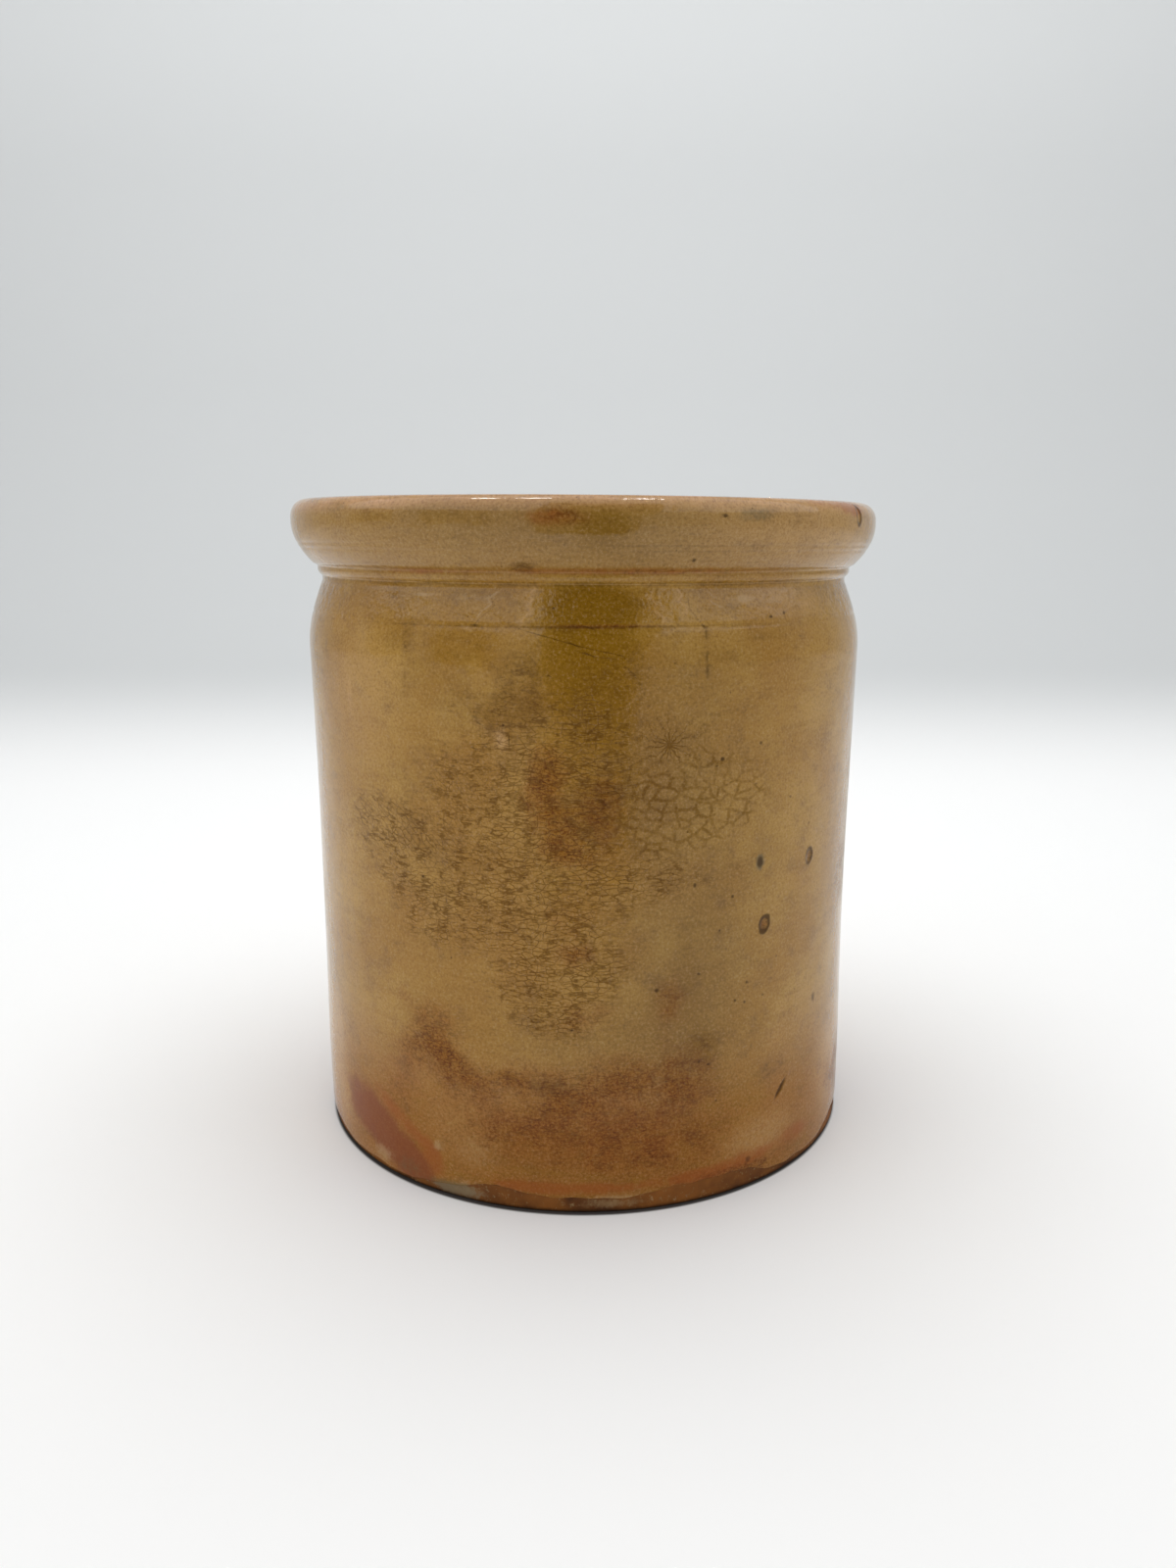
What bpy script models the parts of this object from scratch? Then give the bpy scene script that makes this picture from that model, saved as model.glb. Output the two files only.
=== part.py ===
"""Confit pot in glazed earthenware, built up in the layers that its potter gave it.

The jar is one thrown and fired piece of red clay, with a rolled collar for tying down a
cover. A cream slip covers it inside and out, and two honey glazes lie on the slip. The
outer glaze ends in a ragged dipped edge above the bare foot, and the inner glaze lines the
jar. Every layer is turned from one outline, sunk into the wall by the coats that lie over
it, so a change of a size carries through them all. The jar stands on Z = 0, with its axis
on Z and its front at -Y. Lengths are in metres.

Run it with: blender --background --python part.py
"""

import math

import bpy
from mathutils import Vector

# Driving sizes of the jar, over the glaze
pot_height = 0.1697
body_radius = 0.0751
waist_depth = 0.0007
foot_rounding = 0.0008
foot_taper = 0.0006
foot_taper_height = 0.030

# Shoulder and neck
shoulder_height = 0.0170
neck_depth = 0.0042
neck_land = 0.0011

# Collar, measured down from the crest
collar_height = 0.0191
collar_overhang = 0.0032
collar_face_height = 0.0010
crest_outer_drop = 0.0045
crest_outer_width = 0.0038
crest_inner_drop = 0.0050
crest_inner_width = 0.0056

# Bead under the collar, and the groove between them
bead_height = 0.0022
bead_spread = 0.0011
bead_bulge = 0.0004
groove_height = 0.0011
groove_spread = 0.0012
groove_bite = 0.0004

# Wall and floor, from glaze to glaze
wall_thickness = 0.0070
neck_wall_thickness = 0.0062
foot_wall_thickness = 0.0080
inside_shoulder_drop = 0.0010
floor_thickness = 0.0088
inside_corner_radius = 0.0110

# Coats, and the clearance that parts one from the next
coat_clearance = 0.0003
slip_thickness = 0.0003
glaze_thickness = 0.0004

# Dipped edges of the coats above the foot
glaze_edge_height = 0.0048
glaze_edge_wave = 0.0027
slip_edge_height = 0.0105
slip_edge_wave = 0.0040

# How far the thrown jar strays from a true turned form
rim_tilt = 0.0006
body_lean = 0.0003
mouth_oval = 0.0003

# Reach of a cutter past what it cuts
overrun = 0.0020

# Lobes of each ragged edge: how many go round the foot, their share of the wave and where
# the first one peaks, as a share of a turn
glaze_lobe_shares = [(2, 0.34, 0.87), (5, 0.26, 0.08), (11, 0.22, 0.31), (23, 0.18, 0.62)]
slip_lobe_shares = [(3, 0.36, 0.72), (7, 0.28, 0.45), (13, 0.20, 0.11), (29, 0.16, 0.90)]

# Layers of the lattice, as shares of its tilt, lean and oval, from the base to the crest
layer_tilt_shares = [0.0, 0.0, 0.10, 1.0]
layer_lean_shares = [1.0, -0.80, -0.20, -0.60]
layer_oval_shares = [0.0, 0.0, 0.30, 1.0]

# Facets round the axis and along each stretch of the outline
turn_steps = 40
edge_steps = 120
taper_steps = 3
wall_steps = 4
shoulder_steps = 4
bead_steps = 2
groove_steps = 2
underside_steps = 4
crest_steps = 3
throat_steps = 2
corner_steps = 3
smoothing_passes = 4

# Places that follow from the sizes above
neck_radius = body_radius - neck_depth
collar_radius = body_radius + collar_overhang
crease_height = pot_height - collar_height
neck_start = crease_height - neck_land
shoulder_start = neck_start - shoulder_height
crest_radius = collar_radius - crest_outer_width
glaze_depth = glaze_thickness
slip_depth = glaze_depth + coat_clearance
slip_back_depth = slip_depth + slip_thickness
clay_depth = slip_back_depth + coat_clearance
quarter_turn = math.pi / 2
merge_distance = 0.00001


def spaced(steps):
    """Returns the shares from 0 to 1 in even steps, without the first."""
    return [step / steps for step in range(1, steps + 1)]


def eased(share):
    """Returns a share that sets off and arrives slowly."""
    return (1 - math.cos(math.pi * share)) / 2


def bulged(start, end, bulge, steps):
    """Returns points from start to end that swell outwards by bulge half way."""
    points = []
    for share in spaced(steps):
        radius = start[0] + (end[0] - start[0]) * share + bulge * math.sin(math.pi * share)
        height = start[1] + (end[1] - start[1]) * share
        points.append((radius, height))
    return points


def bent(start, corner, end, steps):
    """Returns points on the curve that leaves start towards corner and arrives at end from it."""
    points = []
    for share in spaced(steps):
        rest = 1 - share
        weights = (rest * rest, 2 * rest * share, share * share)
        radius = sum(weight * point[0] for weight, point in zip(weights, (start, corner, end)))
        height = sum(weight * point[1] for weight, point in zip(weights, (start, corner, end)))
        points.append((radius, height))
    return points


def wall_radius(height):
    """Returns the outside radius of the wall at a height, with its waist and drawn-in foot."""
    rise = height - foot_rounding
    waist = waist_depth * math.sin(math.pi * rise / (shoulder_start - foot_rounding))
    taper = foot_taper * (1 - min(rise / foot_taper_height, 1)) ** 2
    return body_radius - waist - taper


def body_outline():
    """Returns the outside from just above the foot, up the wall and in over the shoulder."""
    heights = [foot_rounding]
    for share in spaced(taper_steps):
        heights.append(foot_rounding + foot_taper_height * share)
    taper_top = heights[-1]
    for share in spaced(wall_steps):
        heights.append(taper_top + (shoulder_start - taper_top) * share)
    points = [(wall_radius(height), height) for height in heights]
    for share in spaced(shoulder_steps):
        radius = neck_radius + neck_depth * math.cos(quarter_turn * share)
        points.append((radius, shoulder_start + shoulder_height * share))
    points.append((neck_radius, crease_height))
    return points


def collar_outline():
    """Returns the outside of the collar: bead, groove, flared underside, face and outer crest."""
    crease = (neck_radius, crease_height)
    bead_top = (crease[0] + bead_spread, crease[1] + bead_height)
    groove_top = (bead_top[0] + groove_spread, bead_top[1] + groove_height)
    face_top = (collar_radius, pot_height - crest_outer_drop)
    face_foot = (collar_radius, face_top[1] - collar_face_height)
    turn = (collar_radius, groove_top[1] + collar_radius - groove_top[0])
    points = bulged(crease, bead_top, bead_bulge, bead_steps)
    points += bulged(bead_top, groove_top, -groove_bite, groove_steps)
    points += bent(groove_top, turn, face_foot, underside_steps)
    points.append(face_top)
    for share in spaced(crest_steps):
        radius = crest_radius + crest_outer_width * math.cos(quarter_turn * share)
        height = face_top[1] + crest_outer_drop * math.sin(quarter_turn * share)
        points.append((radius, height))
    return points


def inside_outline():
    """Returns the inside from the crest down to the middle of the floor."""
    lip_foot = (crest_radius - crest_inner_width, pot_height - crest_inner_drop)
    throat = (neck_radius - neck_wall_thickness, neck_start + neck_land / 2)
    belly = (body_radius - wall_thickness, shoulder_start - inside_shoulder_drop)
    corner_radius = body_radius - foot_wall_thickness
    corner_middle = (corner_radius - inside_corner_radius, floor_thickness + inside_corner_radius)
    points = []
    for share in spaced(crest_steps):
        radius = crest_radius - crest_inner_width * math.sin(quarter_turn * share)
        height = lip_foot[1] + crest_inner_drop * math.cos(quarter_turn * share)
        points.append((radius, height))
    for start, end in ((lip_foot, throat), (throat, belly)):
        for share in spaced(throat_steps):
            radius = start[0] + (end[0] - start[0]) * eased(share)
            points.append((radius, start[1] + (end[1] - start[1]) * share))
    points.append((corner_radius, corner_middle[1]))
    for share in spaced(corner_steps):
        radius = corner_middle[0] + inside_corner_radius * math.cos(quarter_turn * share)
        height = corner_middle[1] - inside_corner_radius * math.sin(quarter_turn * share)
        points.append((radius, height))
    points.append((0, floor_thickness))
    return points


def directions_into_wall(points):
    """Returns the way into the clay at each point, smoothed so that sunk outlines never fold."""
    tangents = []
    last = len(points) - 1
    for index in range(len(points)):
        before = Vector(points[max(index - 1, 0)])
        after = Vector(points[min(index + 1, last)])
        tangents.append((after - before).normalized())
    ways = [Vector((-tangent.y, tangent.x)) for tangent in tangents]
    for _ in range(smoothing_passes):
        middles = zip(ways, ways[1:], ways[2:])
        ways[1:-1] = [(left + 2 * middle + right).normalized() for left, middle, right in middles]
    return ways


def sunk(points, ways, depth):
    """Returns the outline moved into the wall by depth, with a point on the axis kept on it."""
    moved = []
    for (radius, height), way in zip(points, ways):
        moved.append((max(radius + way.x * depth, 0), height + way.y * depth))
    return moved


def new_collection(name):
    """Returns a new collection in the scene."""
    collection = bpy.data.collections.new(name)
    bpy.context.scene.collection.children.link(collection)
    return collection


def ceramic(name, colour, roughness, coat):
    """Returns a ceramic material: its colour, its roughness and the weight of a clear gloss."""
    material = bpy.data.materials.new(name)
    material.use_nodes = True
    shader = material.node_tree.nodes["Principled BSDF"]
    shader.inputs["Base Color"].default_value = (*colour, 1)
    shader.inputs["Roughness"].default_value = roughness
    shader.inputs["Metallic"].default_value = 0
    shader.inputs["Coat Weight"].default_value = coat
    return material


def turned(name, points, ring, material, collection):
    """Returns a solid turned from points, which run down the outer side.

    A ring's outline closes on itself. Any other starts and ends on the axis.
    """
    edges = [(index, index + 1) for index in range(len(points) - 1)]
    if ring:
        edges.append((len(points) - 1, 0))
    mesh = bpy.data.meshes.new(name)
    mesh.from_pydata([(radius, 0, height) for radius, height in points], edges, [])
    mesh.materials.append(material)
    solid = bpy.data.objects.new(name, mesh)
    collection.objects.link(solid)
    screw = solid.modifiers.new("turned_on_the_wheel", "SCREW")
    screw.axis = "Z"
    screw.steps = turn_steps
    screw.render_steps = turn_steps
    screw.use_merge_vertices = True
    screw.merge_threshold = merge_distance
    screw.use_smooth_shade = True
    return solid


def dipped_edge_cutter(name, height, wave, lobe_shares, collection):
    """Returns a ring round the foot whose ragged top is where a coat ends."""
    outer = body_radius + overrun
    inner = body_radius - clay_depth - overrun
    bpy.ops.mesh.primitive_cylinder_add(
        vertices=edge_steps,
        radius=(outer + inner) / 2,
        depth=2 * height,
        end_fill_type="NOTHING",
    )
    cutter = bpy.context.object
    cutter.name = name
    for vertex in cutter.data.vertices:
        if vertex.co.z < 0:
            continue
        turn = math.atan2(vertex.co.y, vertex.co.x) / math.tau
        for count, share, peak in lobe_shares:
            vertex.co.z += wave * share * math.cos(math.tau * count * (turn - peak))
    wall = cutter.modifiers.new("ring_width", "SOLIDIFY")
    wall.thickness = outer - inner
    wall.offset = 0
    for holder in cutter.users_collection:
        holder.objects.unlink(cutter)
    collection.objects.link(cutter)
    cutter.hide_render = True
    cutter.display_type = "WIRE"
    return cutter


def cut(solid, cutter):
    """Cuts the cutter out of the solid."""
    boolean = solid.modifiers.new("dipped_edge", "BOOLEAN")
    boolean.operation = "DIFFERENCE"
    boolean.solver = "EXACT"
    boolean.object = cutter


def throwing_lattice(collection):
    """Returns the lattice that carries the hand of the thrower: tilt, lean and oval mouth."""
    cage = bpy.data.lattices.new("throwing_lattice")
    cage.points_u = 2
    cage.points_v = 2
    cage.points_w = len(layer_tilt_shares)
    cage.interpolation_type_u = "KEY_LINEAR"
    cage.interpolation_type_v = "KEY_LINEAR"
    cage.interpolation_type_w = "KEY_CATMULL_ROM"
    lattice = bpy.data.objects.new("throwing_lattice", cage)
    collection.objects.link(lattice)
    side = 2 * collar_radius
    layer_gap = pot_height / (cage.points_w - 1)
    lattice.scale = (side, side, layer_gap)
    lattice.location = (0, 0, pot_height / 2)
    lattice.hide_render = True
    for index, point in enumerate(cage.points):
        layer = index // (cage.points_u * cage.points_v)
        right = math.copysign(1, point.co.x)
        back = math.copysign(1, point.co.y)
        lean = body_lean * layer_lean_shares[layer]
        oval = mouth_oval * layer_oval_shares[layer]
        point.co_deform.x += (lean + oval * right) / side
        point.co_deform.y -= oval * back / side
        point.co_deform.z -= rim_tilt * layer_tilt_shares[layer] * right / layer_gap
    return lattice


def thrown(solid, lattice):
    """Gives the solid the lattice's small faults, after everything else is done to it."""
    hand = solid.modifiers.new("thrown_by_hand", "LATTICE")
    hand.object = lattice


def main():
    """Builds the jar's clay, slip and glazes."""
    for old in list(bpy.data.objects):
        bpy.data.objects.remove(old, do_unlink=True)
    pot = new_collection("confit_pot")
    cutters = new_collection("cutters")

    red_clay = ceramic("fired_red_earthenware", (0.30, 0.11, 0.055), 0.75, 0)
    cream_slip = ceramic("cream_slip", (0.62, 0.43, 0.24), 0.60, 0)
    honey_glaze = ceramic("honey_lead_glaze", (0.38, 0.20, 0.052), 0.16, 1)
    pale_glaze = ceramic("pale_honey_lining_glaze", (0.42, 0.24, 0.075), 0.20, 1)

    outside = body_outline() + collar_outline()
    outline = outside + inside_outline()
    ways = directions_into_wall(outline)
    last_outside = len(outside)

    # The outline runs up the outside, so each solid takes it from the floor back to the foot
    clay_skin = sunk(outline, ways, clay_depth)[::-1]
    clay_foot = (outline[0][0] - clay_depth - foot_rounding, 0)
    clay_body = turned("clay_body", clay_skin + [clay_foot, (0, 0)], False, red_clay, pot)

    slip_face = sunk(outline, ways, slip_depth)[::-1]
    slip_back = sunk(outline, ways, slip_back_depth)
    slip_coat = turned("slip_coat", slip_face + slip_back, False, cream_slip, pot)

    glaze_face = outside[::-1]
    glaze_back = sunk(outside, ways[:last_outside], glaze_depth)
    outer_glaze = turned("outer_glaze", glaze_face + glaze_back, True, honey_glaze, pot)

    # The two glazes meet on the crest, the clearance of a coat apart
    lining = [(crest_radius - coat_clearance, pot_height)] + outline[last_outside:]
    lining_back = sunk(lining, ways[last_outside - 1:], glaze_depth)
    inner_glaze = turned("inner_glaze", lining[::-1] + lining_back, False, pale_glaze, pot)

    edge = dipped_edge_cutter(
        "slip_edge_cutter", slip_edge_height, slip_edge_wave, slip_lobe_shares, cutters
    )
    cut(slip_coat, edge)
    edge = dipped_edge_cutter(
        "glaze_edge_cutter", glaze_edge_height, glaze_edge_wave, glaze_lobe_shares, cutters
    )
    cut(outer_glaze, edge)

    lattice = throwing_lattice(cutters)
    for solid in (clay_body, slip_coat, outer_glaze, inner_glaze):
        thrown(solid, lattice)


main()
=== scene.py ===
"""Looks of an old honey-glazed confit pot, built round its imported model.

The pot is turned again from the same outline, finely enough to carry the unevenness of the
thrown wall, the scored lines of shoulder and collar, the ragged dipped edge of the glaze and
its burst blisters. Clay, slip and the two glazes stay separate pieces. The front of the pot
looks to -Y. Places on the wall are millimetres along it, from the middle of the front
towards +X, and millimetres up from the table. Other lengths are in metres.
"""

import logging
import math
from dataclasses import dataclass
from enum import Enum
from functools import partial

import bmesh
import bpy
import numpy as np
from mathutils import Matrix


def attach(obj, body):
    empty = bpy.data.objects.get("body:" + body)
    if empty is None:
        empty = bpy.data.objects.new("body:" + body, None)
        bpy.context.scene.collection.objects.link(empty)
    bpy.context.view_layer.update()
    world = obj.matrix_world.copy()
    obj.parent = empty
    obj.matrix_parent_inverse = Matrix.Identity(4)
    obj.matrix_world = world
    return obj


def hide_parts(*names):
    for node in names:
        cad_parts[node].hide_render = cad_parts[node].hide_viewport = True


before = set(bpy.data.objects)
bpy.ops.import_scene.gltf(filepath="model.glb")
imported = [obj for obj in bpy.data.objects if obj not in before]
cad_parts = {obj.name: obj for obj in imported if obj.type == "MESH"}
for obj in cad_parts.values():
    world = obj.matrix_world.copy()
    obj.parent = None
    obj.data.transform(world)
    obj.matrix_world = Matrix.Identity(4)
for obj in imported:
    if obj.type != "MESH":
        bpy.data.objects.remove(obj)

MM = 0.001
TAU = math.tau
BODY = "root"
FAR_SIDE_SEED = 11
STEP = "MapRange:SMOOTHSTEP"
TIMES = "Math:MULTIPLY"
MAIN_SETTINGS = {
    "MapRange": "interpolation_type", "Mix": "data_type", "TexNoise": "noise_dimensions",
    "TexVoronoi": "voronoi_dimensions", "TexWhiteNoise": "noise_dimensions",
}
log = logging.getLogger("confit_pot")

Point = tuple[float, float]


def linear(colour: str) -> tuple[float, float, float, float]:
    """Turns an sRGB hex colour to the linear values that sockets take.

    Args:
        colour: six hex digits.

    Returns:
        Red, green, blue and an alpha of 1.
    """
    shares = [int(colour[start:start + 2], 16) / 255 for start in (0, 2, 4)]
    curve = [share / 12.92 if share < 0.04045 else ((share + 0.055) / 1.055) ** 2.4 for share in shares]
    return (*curve, 1.0)


def plug(node, inputs: tuple | dict) -> None:
    """Gives inputs of a node, by name or number, a value or the output that feeds them."""
    for key, value in (inputs.items() if isinstance(inputs, dict) else enumerate(inputs)):
        if isinstance(value, bpy.types.NodeSocket):
            node.id_data.links.new(value, node.inputs[key])
        else:
            node.inputs[key].default_value = value


def add_node(tree, kind: str, inputs: tuple | dict = (), output=0, **settings):
    """Adds a node to a tree, sets it up and links it.

    Args:
        tree: the node tree.
        kind: the node's type and, after a colon, its main setting, such as Math:ADD.
        inputs: a value, or the output that feeds it, for each input in turn or by name or number.
        output: the name or number of the output that is wanted.
        settings: other properties of the node.

    Returns:
        That output of the new node.
    """
    kind, _, choice = kind.partition(":")
    node = tree.nodes.new(kind if kind.startswith("Geometry") else "ShaderNode" + kind)
    if choice:
        settings[MAIN_SETTINGS.get(kind, "operation")] = choice
    for name, value in settings.items():
        setattr(node, name, value)
    plug(node, inputs)
    return node.outputs[output]


def new_material(name: str):
    """Starts a material. Returns it, the function that adds nodes to it, and its shader."""
    material = bpy.data.materials.new(name)
    material.use_nodes = True
    tree = material.node_tree
    return material, partial(add_node, tree), tree.nodes["Principled BSDF"]


class Trace(Enum):
    """What age, fire and use have left on the wall, and the painted shade and painted highlights laid in with
    them. Each is an attribute of the mesh.
    """

    IRON = "iron"
    EMBER = "ember"
    SMOKE = "smoke"
    AMBER = "amber"
    PALE_AND_GLINT = "pale_and_glint"
    OLIVE = "olive"
    FINE = "fine_crazing"
    COARSE = "coarse_crazing"
    DIRT_AND_SHADE = "dirt_and_shade"
    PLUM = "plum"
    DUSK = "dusk"
    THIN = "thin_and_glint"


def ellipse_shares(mark, along: np.ndarray, up: np.ndarray) -> tuple[np.ndarray, np.ndarray]:
    """Returns how far places lie from a mark's middle, across and up it, as shares of its half sizes."""
    angle = math.radians(mark.turn)
    right, high = along - mark.along, up - mark.up
    across = (right * math.cos(angle) + high * math.sin(angle)) / mark.half_width
    upright = (high * math.cos(angle) - right * math.sin(angle)) / mark.half_height
    return across, upright


def lies_near(mark, along: np.ndarray, up: np.ndarray, times: float, margin: float) -> np.ndarray:
    """Returns which places lie round a mark, within so many times its larger half size and a margin."""
    reach = times * max(mark.half_width, mark.half_height) + margin
    return np.hypot(along - mark.along, up - mark.up) < reach


@dataclass(frozen=True)
class Patch:
    """A soft patch of one trace, in millimetres on the wall."""

    trace: Trace
    along: float
    up: float
    half_width: float
    half_height: float
    strength: float = 1.0
    turn: float = 0.0

    def cover(self, along: np.ndarray, up: np.ndarray) -> np.ndarray:
        """Works out how strongly the patch covers places on the wall.

        Args:
            along: millimetres along the wall.
            up: millimetres above the table.

        Returns:
            The cover at each place, from 0 to the patch's strength.
        """
        across, upright = ellipse_shares(self, along, up)
        return self.strength * np.exp(-((across**2 + upright**2) ** 1.5))


@dataclass(frozen=True)
class Dent:
    """A small hollow or blob in the glaze, in millimetres on the wall."""

    along: float
    up: float
    half_width: float
    half_height: float
    depth: float
    lip: float = 0.0
    turn: float = 0.0
    dirt_and_shade: float = 0.8
    ring: float = 0.0

    def spread(self, along: np.ndarray, up: np.ndarray) -> np.ndarray:
        """Returns the distance from the middle, as a share of the dent's half size."""
        return np.hypot(*ellipse_shares(self, along, up))

    def sink(self, along: np.ndarray, up: np.ndarray) -> np.ndarray:
        """Returns how far places sink into the wall, in millimetres. A raised lip is negative."""
        spread = self.spread(along, up)
        bowl = self.depth * np.clip(1 - spread**2, 0, 1)
        lip = self.lip * np.exp(-(((spread - 1.1) / 0.3) ** 2))
        return bowl - lip


@dataclass(frozen=True)
class Hairline:
    """A single long line of one trace, mostly a dirty crack and sometimes a painted highlight, through places
    in millimetres.
    """

    points: tuple[Point, ...]
    half_width: float = 0.30
    strength: float = 0.8
    trace: Trace = Trace.DIRT_AND_SHADE

    def distance(self, along: np.ndarray, up: np.ndarray) -> np.ndarray:
        """Returns the distance of places from the line, in millimetres."""
        nearest = np.full(along.shape, np.inf)
        for (left, low), (right, high) in zip(self.points, self.points[1:]):
            run, rise = right - left, high - low
            share = ((along - left) * run + (up - low) * rise) / (run * run + rise * rise)
            share = np.clip(share, 0, 1)
            nearest = np.minimum(nearest, np.hypot(along - left - share * run, up - low - share * rise))
        return nearest


@dataclass(frozen=True)
class JarForm:
    """Outline of the jar over its glaze, and the hand of its thrower."""

    height: float = 0.1697
    body_radius: float = 0.0751
    waist: float = 0.0007
    foot_rounding: float = 0.0008
    foot_taper: float = 0.0006
    foot_taper_height: float = 0.030
    shoulder_height: float = 0.0170
    neck_depth: float = 0.0042
    neck_land: float = 0.0011
    collar_height: float = 0.0191
    collar_overhang: float = 0.0032
    collar_face: float = 0.0010
    crest_outer_drop: float = 0.0045
    crest_outer_width: float = 0.0038
    crest_inner_drop: float = 0.0050
    crest_inner_width: float = 0.0056
    bead_height: float = 0.0022
    bead_spread: float = 0.0011
    bead_bulge: float = 0.0004
    groove_height: float = 0.0011
    groove_spread: float = 0.0012
    groove_bite: float = 0.0004
    wall: float = 0.0070
    neck_wall: float = 0.0062
    foot_wall: float = 0.0080
    inside_shoulder_drop: float = 0.0010
    floor: float = 0.0088
    corner_radius: float = 0.0110
    rim_tilt: float = 0.0006
    lean: float = 0.0003
    mouth_oval: float = 0.0003
    scored_lines: tuple = ((0.1414, 0.00014), (0.1577, 0.00013), (0.1590, 0.00013))
    scored_width: float = 0.00035

    @property
    def neck_radius(self) -> float:
        """Radius of the neck under the collar."""
        return self.body_radius - self.neck_depth

    @property
    def collar_radius(self) -> float:
        """Radius of the collar's face, the widest of the jar."""
        return self.body_radius + self.collar_overhang

    @property
    def crest_radius(self) -> float:
        """Radius of the highest line of the rim."""
        return self.collar_radius - self.crest_outer_width

    @property
    def crease(self) -> float:
        """Height of the crease under the bead."""
        return self.height - self.collar_height

    @property
    def shoulder_start(self) -> float:
        """Height where the wall starts to turn in."""
        return self.crease - self.neck_land - self.shoulder_height

    def scored(self, points: list[Point]) -> list[Point]:
        """Presses the scored lines into the outside.

        Args:
            points: radius and height of each point.

        Returns:
            The same points with the lines in them.
        """
        pressed = []
        for radius, height in points:
            for line, depth in self.scored_lines:
                radius -= depth * math.exp(-(((height - line) / self.scored_width) ** 2))
            pressed.append((radius, height))
        return pressed

    def wall_radius(self, height: float) -> float:
        """Returns the outside radius of the wall at a height, with its waist and drawn-in foot."""
        rise = height - self.foot_rounding
        bow = math.sin(math.pi * rise / (self.shoulder_start - self.foot_rounding))
        taper = (1 - min(rise / self.foot_taper_height, 1)) ** 2
        return self.body_radius - self.waist * bow - self.foot_taper * taper

    def outside(self, start: float, wall_rows: int) -> list[Point]:
        """Returns the outside from a height above the foot up to the crest.

        Args:
            start: the height of the first point.
            wall_rows: how many rows the straight wall gets.
        """
        top = self.shoulder_start
        heights = start + (top - start) * np.linspace(0, 1, wall_rows, endpoint=False)
        points = [(self.wall_radius(height), float(height)) for height in heights]
        for share in np.linspace(0, 1, 44):
            radius = self.neck_radius + self.neck_depth * math.cos(TAU / 4 * share)
            points.append((radius, top + self.shoulder_height * share))
        for share in np.linspace(0.25, 1, 4):
            points.append((self.neck_radius, self.crease - self.neck_land * (1 - share)))
        bead_top = (self.neck_radius + self.bead_spread, self.crease + self.bead_height)
        groove_top = (bead_top[0] + self.groove_spread, bead_top[1] + self.groove_height)
        face_top = (self.collar_radius, self.height - self.crest_outer_drop)
        face_foot = (self.collar_radius, face_top[1] - self.collar_face)
        turn = (self.collar_radius, groove_top[1] + self.collar_radius - groove_top[0])
        for share in np.linspace(0.1, 1, 10):
            radius = self.neck_radius + self.bead_spread * share + self.bead_bulge * math.sin(math.pi * share)
            points.append((radius, self.crease + self.bead_height * share))
        for share in np.linspace(0.15, 1, 7):
            radius = bead_top[0] + self.groove_spread * share - self.groove_bite * math.sin(math.pi * share)
            points.append((radius, bead_top[1] + self.groove_height * share))
        for share in np.linspace(0.03, 1, 38):
            rest = 1 - share
            weights = (rest * rest, 2 * rest * share, share * share)
            radius, height = np.dot(weights, (groove_top, turn, face_foot))
            points.append((float(radius), float(height)))
        points.append(((face_foot[0] + face_top[0]) / 2, (face_foot[1] + face_top[1]) / 2))
        for share in np.linspace(0, 1, 14):
            radius = self.crest_radius + self.crest_outer_width * math.cos(TAU / 4 * share)
            points.append((radius, face_top[1] + self.crest_outer_drop * math.sin(TAU / 4 * share)))
        return self.scored(points)

    def inside(self, wall_rows: int) -> list[Point]:
        """Returns the inside from just within the crest down to the middle of the floor.

        Args:
            wall_rows: how many rows the inner wall gets.
        """
        lip_foot = (self.crest_radius - self.crest_inner_width, self.height - self.crest_inner_drop)
        throat = (self.neck_radius - self.neck_wall, self.crease - self.neck_land / 2)
        belly = (self.body_radius - self.wall, self.shoulder_start - self.inside_shoulder_drop)
        corner = self.body_radius - self.foot_wall
        middle = (corner - self.corner_radius, self.floor + self.corner_radius)
        points = []
        for share in np.linspace(0.08, 1, 12):
            radius = self.crest_radius - self.crest_inner_width * math.sin(TAU / 4 * share)
            points.append((radius, lip_foot[1] + self.crest_inner_drop * math.cos(TAU / 4 * share)))
        for start, end in ((lip_foot, throat), (throat, belly)):
            for share in np.linspace(0.1, 1, 10):
                eased = (1 - math.cos(math.pi * share)) / 2
                points.append(
                    (start[0] + (end[0] - start[0]) * eased, start[1] + (end[1] - start[1]) * share)
                )
        for share in np.linspace(0, 1, wall_rows)[1:]:
            points.append((belly[0] + (corner - belly[0]) * share, belly[1] + (middle[1] - belly[1]) * share))
        for share in np.linspace(0.1, 1, 10):
            radius = middle[0] + self.corner_radius * math.cos(TAU / 4 * share)
            points.append((radius, middle[1] - self.corner_radius * math.sin(TAU / 4 * share)))
        for share in np.linspace(0, 1, 24)[1:]:
            points.append((middle[0] * (1 - share), self.floor))
        return points


def sunk(points: list[Point], depths: float | list[float], passes: int = 4) -> list[Point]:
    """Moves an outline into the wall, which lies on the left of its way.

    Args:
        points: radius and height of each point, up the outside or down the inside.
        depths: one depth, or a depth for each point.
        passes: how often the directions are smoothed, so that the outline never folds.

    Returns:
        The sunk outline, with a point on the axis kept on it.
    """
    line = np.array(points)
    run = np.gradient(line, axis=0)
    ways = np.stack((-run[:, 1], run[:, 0]), axis=1)
    ways /= np.linalg.norm(ways, axis=1, keepdims=True)
    for _ in range(passes):
        ways[1:-1] = ways[:-2] + 2 * ways[1:-1] + ways[2:]
        ways /= np.linalg.norm(ways, axis=1, keepdims=True)
    moved = line + ways * np.broadcast_to(np.array(depths), (len(line),))[:, None]
    return [(max(float(radius), 0.0), float(height)) for radius, height in moved]


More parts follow.
